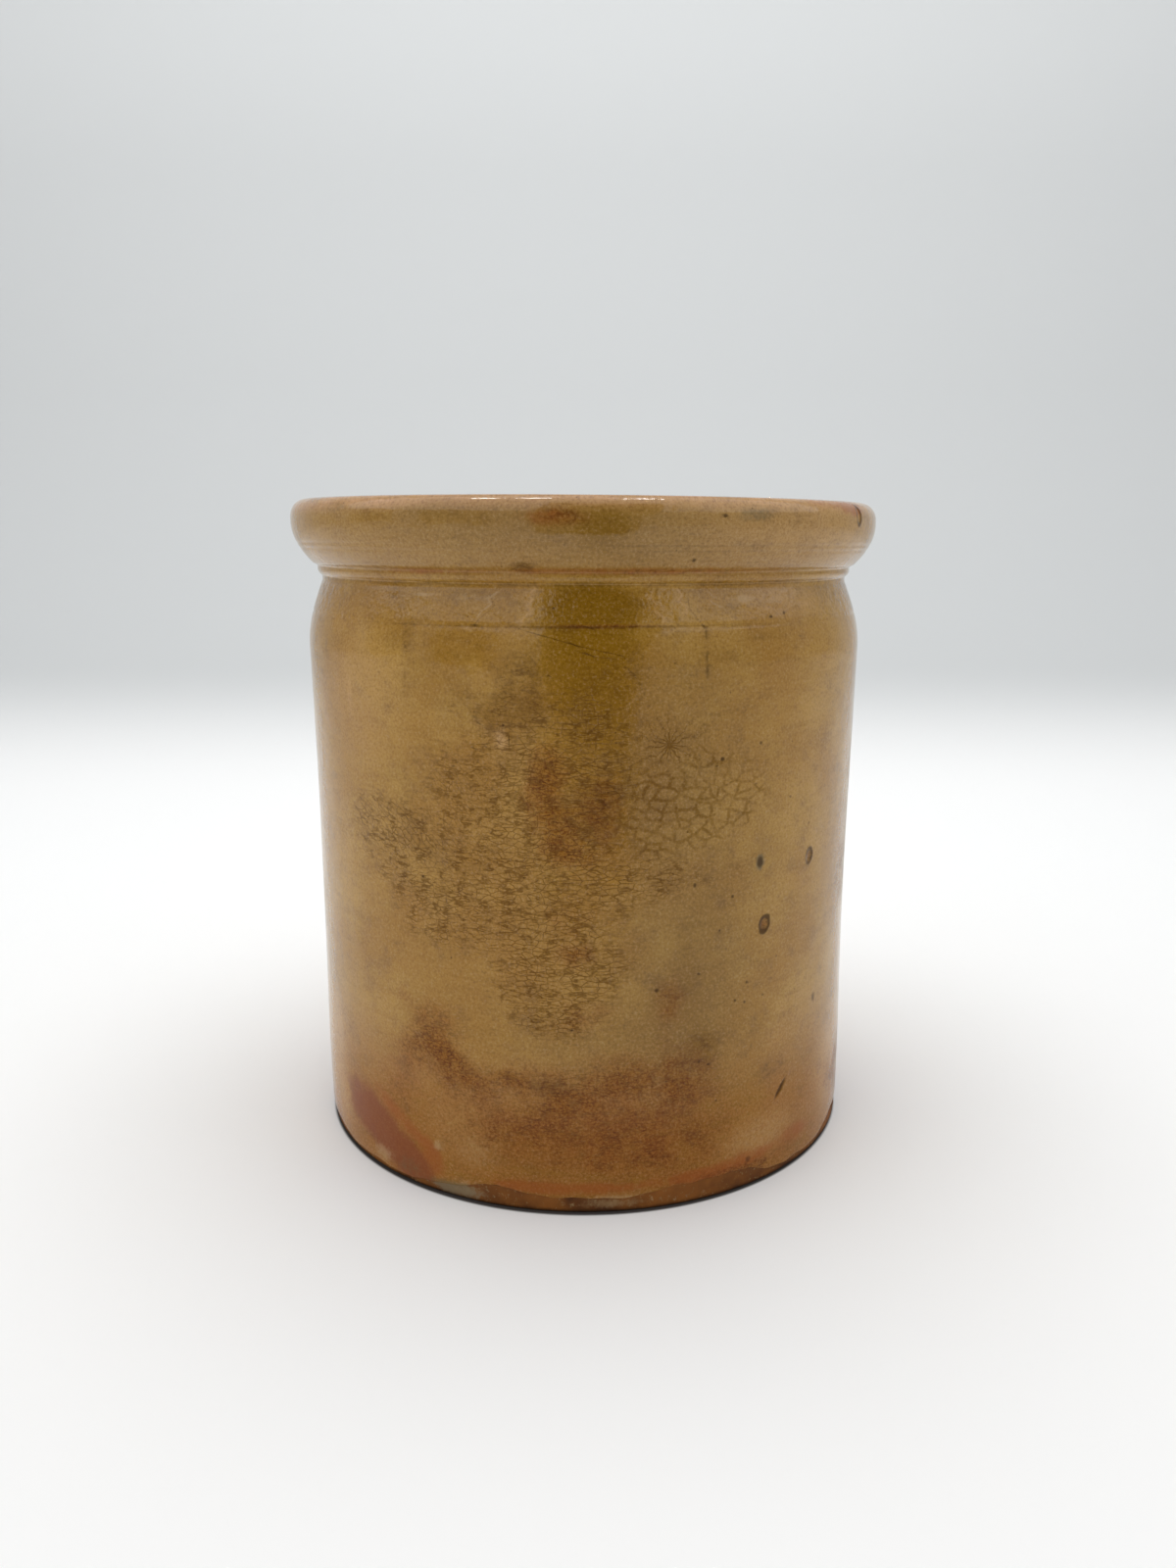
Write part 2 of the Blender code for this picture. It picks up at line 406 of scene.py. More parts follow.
def thinned(points: list[Point], step: int) -> list[Point]:
    """Keeps every step-th point of an outline, and its two ends."""
    return [point for index, point in enumerate(points) if index % step == 0 or index == len(points) - 1]


def coordinates_of(mesh: bpy.types.Mesh) -> np.ndarray:
    """Returns the mesh's points, one row of x, y and z each."""
    flat = np.zeros(len(mesh.vertices) * 3)
    mesh.vertices.foreach_get("co", flat)
    return flat.reshape(-1, 3)


def move_to(mesh: bpy.types.Mesh, coordinates: np.ndarray) -> None:
    """Moves the mesh's points."""
    mesh.vertices.foreach_set("co", coordinates.ravel())
    mesh.update()


def places(coordinates: np.ndarray, form: JarForm) -> tuple[np.ndarray, np.ndarray]:
    """Turns points of the pot to places on its wall.

    Args:
        coordinates: one row of x, y and z for each point, in metres.
        form: the jar, whose radius turns angles to lengths.

    Returns:
        Millimetres along the wall from the front, and millimetres up.
    """
    along = np.arctan2(coordinates[:, 0], -coordinates[:, 1]) * form.body_radius / MM
    return along, coordinates[:, 2] / MM


@dataclass
class TurningTree:
    """Geometry Nodes that turn an outline on the wheel, with the small faults of the hand.

    The outline is a line of points in the XZ plane. A grid with a row for each of them is
    rolled round the axis, and gets the lean, the tilt and the oval mouth of the jar, the slow
    swells of a thrown wall and the finer waves of a melted glaze.
    """

    form: JarForm
    segments: int = 300
    swell: float = 0.00010
    swell_size: float = 0.030
    ripple: float = 0.000035
    ripple_size: float = 0.0065
    ring_depth: float = 0.0
    ring_spacing: float = 0.0062
    seed: float = 3.0
    shares_by_level: tuple = (
        ("tilt", (0, 0, 0.10, 1)), ("lean", (1, -0.80, -0.20, -0.60)), ("oval", (0, 0, 0.30, 1)),
    )
    merging: float = 0.0005 * MM

    def build(self) -> tuple[bpy.types.NodeTree, dict[str, str]]:
        """Builds the tree.

        Returns:
            The tree, and the identifier of each of its inputs by name.
        """
        tree = bpy.data.node_groups.new("turned_on_the_wheel", "GeometryNodeTree")
        add = partial(add_node, tree)
        sizes = {
            "Segments": self.segments, "Height": self.form.height, "Tilt": self.form.rim_tilt,
            "Lean": self.form.lean, "Oval": self.form.mouth_oval, "Rim Radius": self.form.collar_radius,
            "Swell": self.swell, "Swell Size": self.swell_size, "Ripple": self.ripple,
            "Ripple Size": self.ripple_size, "Ring Depth": self.ring_depth,
            "Ring Spacing": self.ring_spacing, "Seed": self.seed,
        }
        tree.interface.new_socket("Outline", in_out="INPUT", socket_type="NodeSocketGeometry")
        for name, size in sizes.items():
            kind = "NodeSocketInt" if isinstance(size, int) else "NodeSocketFloat"
            tree.interface.new_socket(name, in_out="INPUT", socket_type=kind).default_value = size
        tree.interface.new_socket("Finish", in_out="INPUT", socket_type="NodeSocketMaterial")
        tree.interface.new_socket("Layer", in_out="OUTPUT", socket_type="NodeSocketGeometry")
        names = {item.name: item.identifier for item in tree.interface.items_tree if item.in_out == "INPUT"}
        given = tree.nodes.new("NodeGroupInput").outputs
        layer, position = self.rolled(add, given)
        position = self.swollen(add, given, self.leaning(add, given, position))
        for kind, inputs in (
            ("SetPosition", {"Position": position}), ("MergeByDistance", {"Distance": 0.001 * MM}),
            ("SetShadeSmooth", {}), ("RealizeInstances", {}), ("SetMaterial", {"Material": given["Finish"]}),
        ):
            layer = add("GeometryNode" + kind, {"Geometry": layer, **inputs})
        plug(tree.nodes.new("NodeGroupOutput"), (layer,))
        return tree, names

    def rolled(self, add, given):
        """Adds the grid. Returns it, and the position of its points rolled round the axis."""
        rows = add(
            "GeometryNodeAttributeDomainSize", {"Geometry": given["Outline"]}, "Point Count", component="MESH"
        )
        last = add("Math:SUBTRACT", (rows, 1.0))
        columns = add("Math:ADD", (given["Segments"], 1.0))
        grid = add(
            "GeometryNodeMeshGrid",
            {"Size X": last, "Size Y": given["Segments"], "Vertices X": rows, "Vertices Y": columns}, "Mesh",
        )
        flat = add("GeometryNodeInputPosition")
        row = add("SeparateXYZ", (flat,), "X")
        column = row.node.outputs["Y"]
        row = add("Math:MULTIPLY_ADD", (last, 0.5, row))
        row = add("Math:ROUND", (row,))
        column = add("Math:DIVIDE", (column, given["Segments"]))
        angle = add(TIMES, (column, TAU))
        point = add(
            "GeometryNodeSampleIndex", {"Geometry": given["Outline"], "Value": flat, "Index": row},
            data_type="FLOAT_VECTOR", domain="POINT",
        )
        radius = add("SeparateXYZ", (point,), "X")
        height = radius.node.outputs["Z"]
        across, deep = (add(TIMES, (radius, add("Math:" + wave, (angle,)))) for wave in ("COSINE", "SINE"))
        return grid, add("CombineXYZ", (across, deep, height))

    def leaning(self, add, given, position):
        """Returns the position with the jar's lean, oval mouth and tilted rim."""
        across = add("SeparateXYZ", (position,), "X")
        deep, high = across.node.outputs["Y"], across.node.outputs["Z"]
        level = add("Math:DIVIDE", (high, given["Height"]))
        by_level = {}
        for name, found in self.shares_by_level:
            curve = add("FloatCurve", {"Value": level}, "Value").node
            points = curve.mapping.curves[0].points
            points.new(1 / 3, (1 + found[1]) / 2)
            points.new(2 / 3, (1 + found[2]) / 2)
            points[0].location = (0.0, (1 + found[0]) / 2)
            points[-1].location = (1.0, (1 + found[3]) / 2)
            curve.mapping.update()
            by_level[name] = add("Math:MULTIPLY_ADD", (curve.outputs["Value"], 2.0, -1.0))
        oval = add(TIMES, (by_level["oval"], given["Oval"]))
        widths = add("Math:DIVIDE", (across, given["Rim Radius"]))
        depths = add("Math:DIVIDE", (deep, given["Rim Radius"]))
        push = add(TIMES, (widths, oval))
        push = add("Math:MULTIPLY_ADD", (by_level["lean"], given["Lean"], push))
        pull = add(TIMES, (depths, oval))
        pull = add(TIMES, (pull, -1.0))
        drop = add(TIMES, (widths, by_level["tilt"]))
        drop = add(TIMES, (drop, given["Tilt"]))
        drop = add(TIMES, (drop, -1.0))
        shift = add("CombineXYZ", (push, pull, drop))
        return add("VectorMath:ADD", (position, shift))

    def swollen(self, add, given, position):
        """Returns the position with swells, ripples and throwing rings, all drawn inwards."""
        inwards = add("VectorMath:MULTIPLY", (position, (-1, -1, 0)))
        inwards = add("VectorMath:NORMALIZE", (inwards,))
        total = None
        for size, depth in (("Swell Size", "Swell"), ("Ripple Size", "Ripple")):
            scale = add("Math:DIVIDE", (1.0, given[size]))
            cloud = {"Vector": position, "W": given["Seed"], "Scale": scale, "Detail": 1.0}
            wave = add(TIMES, (add("TexNoise:4D", cloud), given[depth]))
            total = wave if total is None else add("Math:ADD", (total, wave))
        high = add("SeparateXYZ", (position,), "Z")
        across, deep = high.node.outputs["X"], high.node.outputs["Y"]
        turn = add("Math:ARCTAN2", (deep, across))
        rings = add("Math:DIVIDE", (high, given["Ring Spacing"]))
        rings = add("Math:MULTIPLY_ADD", (rings, TAU, turn))
        rings = add("Math:SINE", (rings,))
        rings = add("Math:MULTIPLY_ADD", (rings, 0.5, 0.5))
        total = add("Math:MULTIPLY_ADD", (rings, given["Ring Depth"], total))
        shift = add("VectorMath:SCALE", {0: inwards, "Scale": total})
        return add("VectorMath:ADD", (position, shift))

    def turned(
        self, name: str, outline: list[Point], material: bpy.types.Material, ring: bool = False
    ) -> bpy.types.Mesh:
        """Turns an outline to a closed mesh.

        Args:
            name: the name of the mesh.
            outline: radius and height of each point.
            material: the finish.
            ring: whether the outline closes on itself, as the outer coat's does.

        Returns:
            The mesh, merged, with its faces pointing out.
        """
        tree, names = self.build()
        points = outline + outline[:1] if ring else outline
        line = bpy.data.meshes.new(name)
        line.from_pydata([(radius, 0, height) for radius, height in points], [], [])
        holder = bpy.data.objects.new(name + "_outline", line)
        bpy.context.scene.collection.objects.link(holder)
        wheel = holder.modifiers.new("wheel", "NODES")
        wheel.node_group = tree
        wheel[names["Finish"]] = material
        evaluated = holder.evaluated_get(bpy.context.evaluated_depsgraph_get())
        mesh = bpy.data.meshes.new_from_object(evaluated)
        bpy.data.objects.remove(holder)
        bpy.data.meshes.remove(line)
        mesh.name = name
        work = bmesh.new()
        work.from_mesh(mesh)
        bmesh.ops.remove_doubles(work, verts=work.verts, dist=self.merging)
        bmesh.ops.dissolve_degenerate(work, edges=work.edges, dist=self.merging)
        bmesh.ops.recalc_face_normals(work, faces=work.faces)
        work.to_mesh(mesh)
        work.free()
        return mesh


def placed_piece(mesh: bpy.types.Mesh, node: str) -> bpy.types.Object:
    """Puts a finished mesh in the scene in place of a solid of the model.

    Args:
        mesh: the mesh, in the frame's own place, with the piece's name.
        node: the solid that it stands for.

    Returns:
        The new piece.
    """
    piece = bpy.data.objects.new(mesh.name, mesh)
    bpy.context.scene.collection.objects.link(piece)
    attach(piece, BODY)
    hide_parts(node)
    log.info("%s: %d faces, stands for %s", mesh.name, len(mesh.polygons), node)
    return piece


@dataclass(frozen=True)
class Weathering:
    """Every stain, crack and scar of the wall, as the potter's kiln and a century left them, and the painted
    shade and painted highlights laid in with them.
    """

    patches: list[Patch]
    dents: tuple[Dent, ...]
    specks: list[Patch]
    hairlines: list[Hairline]
    form: JarForm
    refining_cuts: int = 3
    margin_mm: float = 1.2
    pit_reach: float = 1.3
    ring_width: float = 0.36
    ring_paleness: float = 0.3

    def refine(self, mesh: bpy.types.Mesh) -> None:
        """Cuts the faces round small marks finer, and sinks the dents."""
        along, up = places(coordinates_of(mesh), self.form)
        chosen = np.zeros(len(along), bool)
        for dent in self.dents:
            chosen |= lies_near(dent, along, up, 1.6, 1.0)
        for speck in self.specks:
            chosen |= lies_near(speck, along, up, 1.0, self.margin_mm)
        for line in self.hairlines:
            chosen |= line.distance(along, up) < self.margin_mm
        coordinates = coordinates_of(mesh)
        chosen &= np.hypot(coordinates[:, 0], coordinates[:, 1]) > self.form.neck_radius - 0.0005
        work = bmesh.new()
        work.from_mesh(mesh)
        work.verts.ensure_lookup_table()
        edges = [edge for edge in work.edges if chosen[edge.verts[0].index] and chosen[edge.verts[1].index]]
        bmesh.ops.subdivide_edges(work, edges=edges, cuts=self.refining_cuts, use_grid_fill=True)
        work.to_mesh(mesh)
        work.free()
        coordinates = coordinates_of(mesh)
        along, up = places(coordinates, self.form)
        radius = np.hypot(coordinates[:, 0], coordinates[:, 1])
        sink = np.zeros(len(along))
        for dent in self.dents:
            sink += dent.sink(along, up) * MM
        share = 1 - sink / np.maximum(radius, self.form.wall)
        coordinates[:, 0] *= share
        coordinates[:, 1] *= share
        move_to(mesh, coordinates)

    def paint(self, mesh: bpy.types.Mesh) -> None:
        """Writes each trace to the mesh as an attribute from 0 to 1."""
        along, up = places(coordinates_of(mesh), self.form)
        clear = {trace: np.ones(len(along)) for trace in Trace}
        for patch in self.patches + self.specks:
            clear[patch.trace] *= 1 - np.clip(patch.cover(along, up), 0, 1)
        for dent in self.dents:
            spread = dent.spread(along, up)
            clear[Trace.DIRT_AND_SHADE] *= 1 - dent.dirt_and_shade * np.clip(self.pit_reach - spread, 0, 1)
            clear[Trace.DIRT_AND_SHADE] *= 1 - dent.ring * np.exp(-(((spread - 1) / self.ring_width) ** 2))
            clear[Trace.THIN] *= 1 - self.ring_paleness * dent.ring * np.clip(1.0 - spread, 0, 1)
        for line in self.hairlines:
            depth = np.exp(-((line.distance(along, up) / line.half_width) ** 2))
            clear[line.trace] *= 1 - line.strength * depth
        for trace, open_share in clear.items():
            layer = mesh.attributes.new(trace.value, "FLOAT", "POINT")
            layer.data.foreach_set("value", (1 - open_share).astype(np.float32))


def far_side(seed: int, form: JarForm) -> list[Patch]:
    """Draws patches for the sides and back, which follow the same habits as the front.

    Args:
        seed: the seed of the draw.
        form: the jar, whose girth bounds the draw.

    Returns:
        The patches.
    """
    habits = (
        (Trace.IRON, 6, (30, 120), (7, 12), 0.60), (Trace.IRON, 9, (4, 26), (9, 20), 0.80),
        (Trace.EMBER, 7, (4, 9), (8, 15), 0.80), (Trace.SMOKE, 12, (15, 145), (4, 11), 0.6),
        (Trace.AMBER, 7, (95, 150), (14, 28), 0.7),
        (Trace.FINE, 9, (25, 110), (14, 30), 0.85), (Trace.COARSE, 4, (60, 125), (10, 18), 0.8),
        (Trace.PALE_AND_GLINT, 7, (2, 14), (4, 8), 0.8), (Trace.OLIVE, 6, (1, 9), (4, 7), 0.8),
        (Trace.PLUM, 4, (5, 20), (8, 14), 0.9), (Trace.DUSK, 7, (30, 140), (16, 30), 0.7),
    )
    draw = np.random.default_rng(seed)
    front = 88.0
    back = math.pi * form.body_radius / MM
    found = []
    for trace, count, (low, high), (small, large), strength in habits:
        for _ in range(count):
            along = draw.uniform(front, 2 * back - front)
            along = along - 2 * back if along > back else along
            width = draw.uniform(small, large)
            found.append(Patch(
                trace, along, draw.uniform(low, high), width, width * draw.uniform(0.45, 0.9),
                strength * draw.uniform(0.6, 1.0), draw.uniform(-25, 25),
            ))
    return found


def by_trace(places: dict[Trace, tuple]) -> list[Patch]:
    """Turns places, half sizes, strengths and turns, listed by trace, to patches."""
    return [Patch(trace, *place) for trace, found in places.items() for place in found]


def front_side() -> list[Patch]:
    """Returns the patches that the front of the pot carries."""
    return by_trace(
        {
            Trace.IRON: (
                (-39, 44, 8, 8, 0.62, -35), (-45, 36, 9, 6, 0.5), (-33, 36, 7, 5, 0.6, -30),
                (-48, 51, 3, 3, 0.45), (-13, 34, 14, 4.5, 0.52), (-4, 29, 9, 5, 0.36), (8, 36, 8, 7, 0.45),
                (21, 54, 5, 8, 0.55), (24, 34, 10, 10, 0.5), (10, 24, 26, 12, 0.42), (-4, 18, 30, 9, 0.34),
                (-22, 22, 13, 6, 0.32), (20, 13, 18, 7, 0.38), (-52, 24, 8, 8, 0.35), (-10, 103, 6, 11, 0.7),
                (-4, 92, 7, 7, 0.55), (1, 88, 9, 5, 0.2), (-8, 113, 5, 5, 0.45), (5, 101, 5, 8, 0.45),
                (-2, 66, 6, 4, 0.6), (-5, 76, 9, 3, 0.4), (60, 12, 8, 8, 0.25), (0, 27, 66, 22, 0.25),
                (40, 5, 20, 3, 0.75), (-70, 84, 6, 16, 0.3), (-62, 60, 5, 10, 0.25), (70, 28, 6, 12, 0.2),
                (0, 102, 10, 13, 0.45), (10, 153.5, 52, 1.0, 0.5), (-46, 153.5, 14, 0.9, 0.4),
                (3, 141.6, 16, 0.6, 0.7), (-30, 30, 8, 6, 0.5), (0, 51, 9, 4.5, 0.48), (-6, 165, 8, 2.4, 0.7),
            ),
            Trace.EMBER: (
                (-50, 17, 14, 2.6, 0.75, -30), (-40, 9, 3.5, 6, 0.75, 25), (-46, 30, 14, 8, 0.35),
                (-12, 6.5, 13, 1.9, 0.9), (5, 6.6, 10, 1.7, 0.8), (29, 7, 14, 2.0, 0.85),
                (45, 8, 10, 2.2, 0.75), (62, 9, 8, 3.0, 0.7), (8, 153.4, 48, 1.0, 0.55),
                (-42, 153.2, 12, 0.9, 0.45), (-8, 165, 6, 2.4, 0.52), (74, 167.5, 9, 2.2, 0.9),
                (60, 168.6, 9, 1.3, 0.5), (-4, 73, 8, 4, 0.3), (10, 18, 40, 12, 0.3),
            ),
            Trace.SMOKE: (
                (-14, 154.4, 3.6, 1.4, 0.9), (-43, 138, 2.4, 6, 0.6), (-43.5, 127, 2.4, 5, 0.55),
                (-41, 91, 8, 3.5, 0.6), (-37, 86, 9, 4, 0.36), (-45, 97, 7, 3.5, 0.55), (-60, 93, 9, 6, 0.45),
                (-36, 75, 6, 5, 0.4), (-16, 122, 10, 5.5, 0.9), (-13, 112, 6, 6, 0.4), (26, 69, 5, 7, 0.5),
                (25, 57, 6, 8, 0.45), (29, 40, 7, 8, 0.65), (-8, 33, 6, 3.2, 0.8), (18, 117, 8, 7, 0.45),
                (38, 118, 12, 8, 0.35), (51, 30, 7, 4, 0.6, 20), (46, 40, 7, 5, 0.4), (60, 11, 7, 6, 0.3),
                (1, 100, 9, 12, 0.65), (-57, 142.5, 4, 1.4, 0.5), (-44, 142, 9, 1.1, 0.4),
                (-15, 142, 5, 1.0, 0.4), (-5, 141.4, 9, 1.0, 0.45), (-26, 148, 8, 1.8, 0.45),
                (-15, 130, 7, 7, 0.6), (44, 158, 30, 3, 0.25), (0, 134, 26, 8, 0.25), (-29, 124, 6, 5, 0.55),
                (-44, 105, 7, 6, 0.45),
            ),
            Trace.AMBER: (
                (1, 135, 15, 18, 0.8), (2, 146, 12, 5, 0.75), (-34, 132, 10, 9, 0.45),
                (-58, 134, 12, 8, 0.15), (4, 114, 13, 14, 0.45), (34, 134, 18, 8, 0.4),
                (4, 162.5, 9, 6, 0.75), (0, 156, 60, 3, 0.3), (48, 84, 12, 10, 0.35),
            ),
            # Pale lime and slip at the foot, and painted reflections: the milky patches on the shoulder at
            # 146 to 148 mm up mirror the box's sides, and (-38, 13) is a painted glint
            Trace.PALE_AND_GLINT: (
                (8, 3.0, 12, 2.0, 0.75), (22, 3.2, 5, 1.6, 0.5), (-38, 13, 1.8, 2.2, 0.65),
                (-58, 4.6, 5, 2.6, 0.7), (48, 13, 14, 6, 0.38), (56, 148, 16, 3, 0.4), (-27, 13, 8, 5, 0.4),
                (40, 146, 14, 3, 0.22), (-60, 118, 9, 26, 0.25), (-20, 30, 9, 4, 0.25),
                (-30, 3.0, 7, 3.0, 0.6), (-26, 147.6, 8, 1.0, 0.6),
            ),
            Trace.OLIVE: (
                (-33, 2.3, 9, 2.3, 1.0), (-48, 4.5, 6, 3.0, 0.5), (38, 165.6, 6, 2.0, 0.6),
                (26, 2.4, 5, 1.6, 0.5), (-62, 167.5, 6, 1.4, 0.45),
            ),
            Trace.FINE: (
                (-18, 84, 46, 42, 0.4), (-14, 118, 14, 10, 0.6), (-22, 108, 14, 8, 0.6),
                (-31, 106, 8, 7, 0.4), (2, 110, 14, 14, 0.7), (0, 125, 16, 7, 0.42), (-50, 92, 17, 10, 0.75),
                (-36, 84, 20, 10, 0.9), (-60, 94, 9, 8, 0.5), (-20, 98, 16, 9, 0.65), (-10, 88, 18, 9, 0.8),
                (-29, 76, 18, 8, 0.85), (-36, 70, 12, 5, 0.75), (-8, 76, 18, 9, 0.85), (-6, 64, 15, 9, 0.8),
                (-12, 54, 12, 7, 0.72), (4, 62, 8, 7, 0.65), (8, 84, 14, 8, 0.7), (23, 84, 10, 6, 0.55),
                (37, 84, 9, 5, 0.4), (-8, 48, 8, 4, 0.6), (0, 34, 22, 5, 0.6), (-12, 24, 22, 6, 0.45),
                (48, 110, 12, 9, 0.45), (40, 62, 10, 6, 0.35), (16, 22, 24, 8, 0.5), (-38, 44, 10, 7, 0.6),
                (38, 124, 14, 7, 0.4), (10, 134, 16, 6, 0.4), (0, 50, 11, 7, 0.55),
            ),
            Trace.COARSE: (
                (22, 99, 20, 13, 1.0), (8, 106, 8, 9, 0.6), (37, 106, 12, 9, 0.6), (46, 98, 9, 8, 0.4),
                (24, 119, 14, 10, 0.5), (-16, 120, 10, 8, 0.35),
            ),
            # Painted shade along the crease under the bead, at 150.5 mm, and along the foot where it meets
            # the table; darker glaze in the scored lines of shoulder and collar
            Trace.DIRT_AND_SHADE: (
                (0, 150.5, 400, 0.8, 0.46), (0, 0.3, 400, 1.2, 0.65), (-4, 141.4, 66, 0.4, 0.52),
                (24, 158.9, 40, 0.3, 0.45), (24, 157.7, 40, 0.3, 0.4),
            ),
            Trace.PLUM: ((-57, 11, 17, 7.0, 1.0, -27), (-47, 6, 9, 5, 0.95, -35), (-67, 15, 9, 7, 0.8)),
            # Darker glaze in soft patches. The wide band across the collar's front at (-6, 163) is painted
            # reflection: darker where the collar mirrors the dark opening in front of the box
            Trace.DUSK: (
                (24, 58, 17, 34, 0.92), (22, 127, 13, 12, 0.45), (20, 104, 15, 17, 0.8),
                (38, 84, 14, 40, 0.35), (-6, 163, 40, 6, 0.62), (2, 44, 18, 10, 0.5), (-2, 14, 46, 12, 0.25),
                (14, 160, 16, 7, 0.35), (-33, 167, 8, 2.2, 0.75),
            ),
            # Thin glaze over the slip, and painted highlights: the light streak on the left at (-64.6, 123)
            # and the pale patch on the right of the shoulder at (56, 146)
            Trace.THIN: (
                (-82, 12, 10, 8, 0.5), (-60, 126, 14, 18, 0.32), (-18.6, 116.8, 1.7, 2.6, 1.0),
                (58, 163.5, 34, 7, 0.52), (56, 146, 15, 4, 0.55), (76, 168.5, 12, 2.2, 0.8),
                (-88, 26, 12, 16, 0.8), (86, 22, 14, 16, 0.75), (50, 13, 14, 6, 0.45), (-30, 20, 10, 8, 0.3),
                (-64.6, 123, 1.0, 5.5, 0.7, 8),
            ),
        }
    )


def small_marks() -> list[Patch]:
    """Returns the specks of the front, painted glints among them, round which the mesh is cut finer."""
    return by_trace({
        Trace.EMBER: (
            (47.3, 68.8, 1.8, 2.2, 0.45), (64.4, 82.9, 1.2, 1.8, 0.45),
        ),
        Trace.SMOKE: (
            (47.3, 68.8, 2.0, 2.5, 0.9), (64.4, 82.9, 1.9, 2.5, 1.0),
        ),
        # Painted highlights: small bright flecks on the shoulder, where its wrinkled glaze catches the light
        Trace.PALE_AND_GLINT: (
            (40.0, 147.0, 2.4, 0.8, 1.0), (-40.0, 148.0, 4.0, 0.5, 0.8),
        ),
        Trace.OLIVE: (
            (45.2, 84.7, 1.6, 2.3, 1.0),
        ),
        Trace.DIRT_AND_SHADE: (
            (46.7, 67.0, 1.1, 0.8, 0.75), (48.4, 70.6, 1.0, 0.6, 0.7), (24.6, 155.8, 0.6, 0.5, 0.9),
            (30.3, 165.3, 0.7, 0.5, 0.9), (33.0, 111.0, 0.7, 0.6, 0.9), (31.5, 109.4, 0.6, 0.3, 0.8),
            (44.0, 113.8, 0.6, 0.5, 0.8), (55.0, 99.5, 0.6, 0.5, 0.7), (63.5, 91.5, 0.5, 0.6, 0.7),
            (45.2, 84.7, 1.2, 1.8, 0.85), (26.5, 81.5, 0.6, 0.8, 0.8), (37.0, 77.5, 0.5, 0.5, 0.9),
            (33.5, 69.5, 0.35, 0.4, 1.0), (28.0, 59.5, 0.5, 0.5, 0.8), (17.3, 56.6, 0.7, 0.6, 0.9),
            (42.0, 55.0, 0.5, 0.6, 0.8), (38.5, 51.0, 0.5, 0.5, 0.8), (41.5, 50.0, 0.6, 0.5, 0.8),
            (47.5, 50.5, 0.35, 0.4, 1.0), (52.0, 59.5, 0.35, 0.4, 0.9), (28.5, 37.0, 0.5, 0.5, 0.8),
            (31.0, 36.0, 0.5, 0.5, 0.8), (44.0, 38.0, 0.6, 1.0, 0.6), (52.0, 143.5, 0.6, 0.5, 0.8),
            (47.5, 142.8, 0.6, 0.4, 0.9), (-33.0, 63.0, 0.3, 0.4, 1.0), (-3.0, 47.5, 0.5, 0.4, 0.9),
            (69.7, 43.6, 1.3, 1.9, 0.62), (-40.5, 82.0, 0.4, 0.5, 0.9), (-7.0, 145.5, 0.35, 0.3, 0.9),
            (-8.0, 131.0, 0.35, 0.3, 0.9), (-31.0, 109.5, 0.4, 0.4, 0.8), (33.5, 26.0, 0.4, 0.4, 0.8),
            (44.0, 7.5, 1.2, 1.2, 0.6), (-22.0, 5.4, 1.8, 0.6, 0.8), (-17.1, 116.4, 0.35, 2.6, 0.7),
            (56.5, 138.0, 0.4, 0.4, 0.7),
        ),
        # Painted highlight: a bright fleck on the right of the shoulder
        Trace.THIN: (
            (61.0, 145.2, 2.4, 0.6, 0.9),
        ),
    })


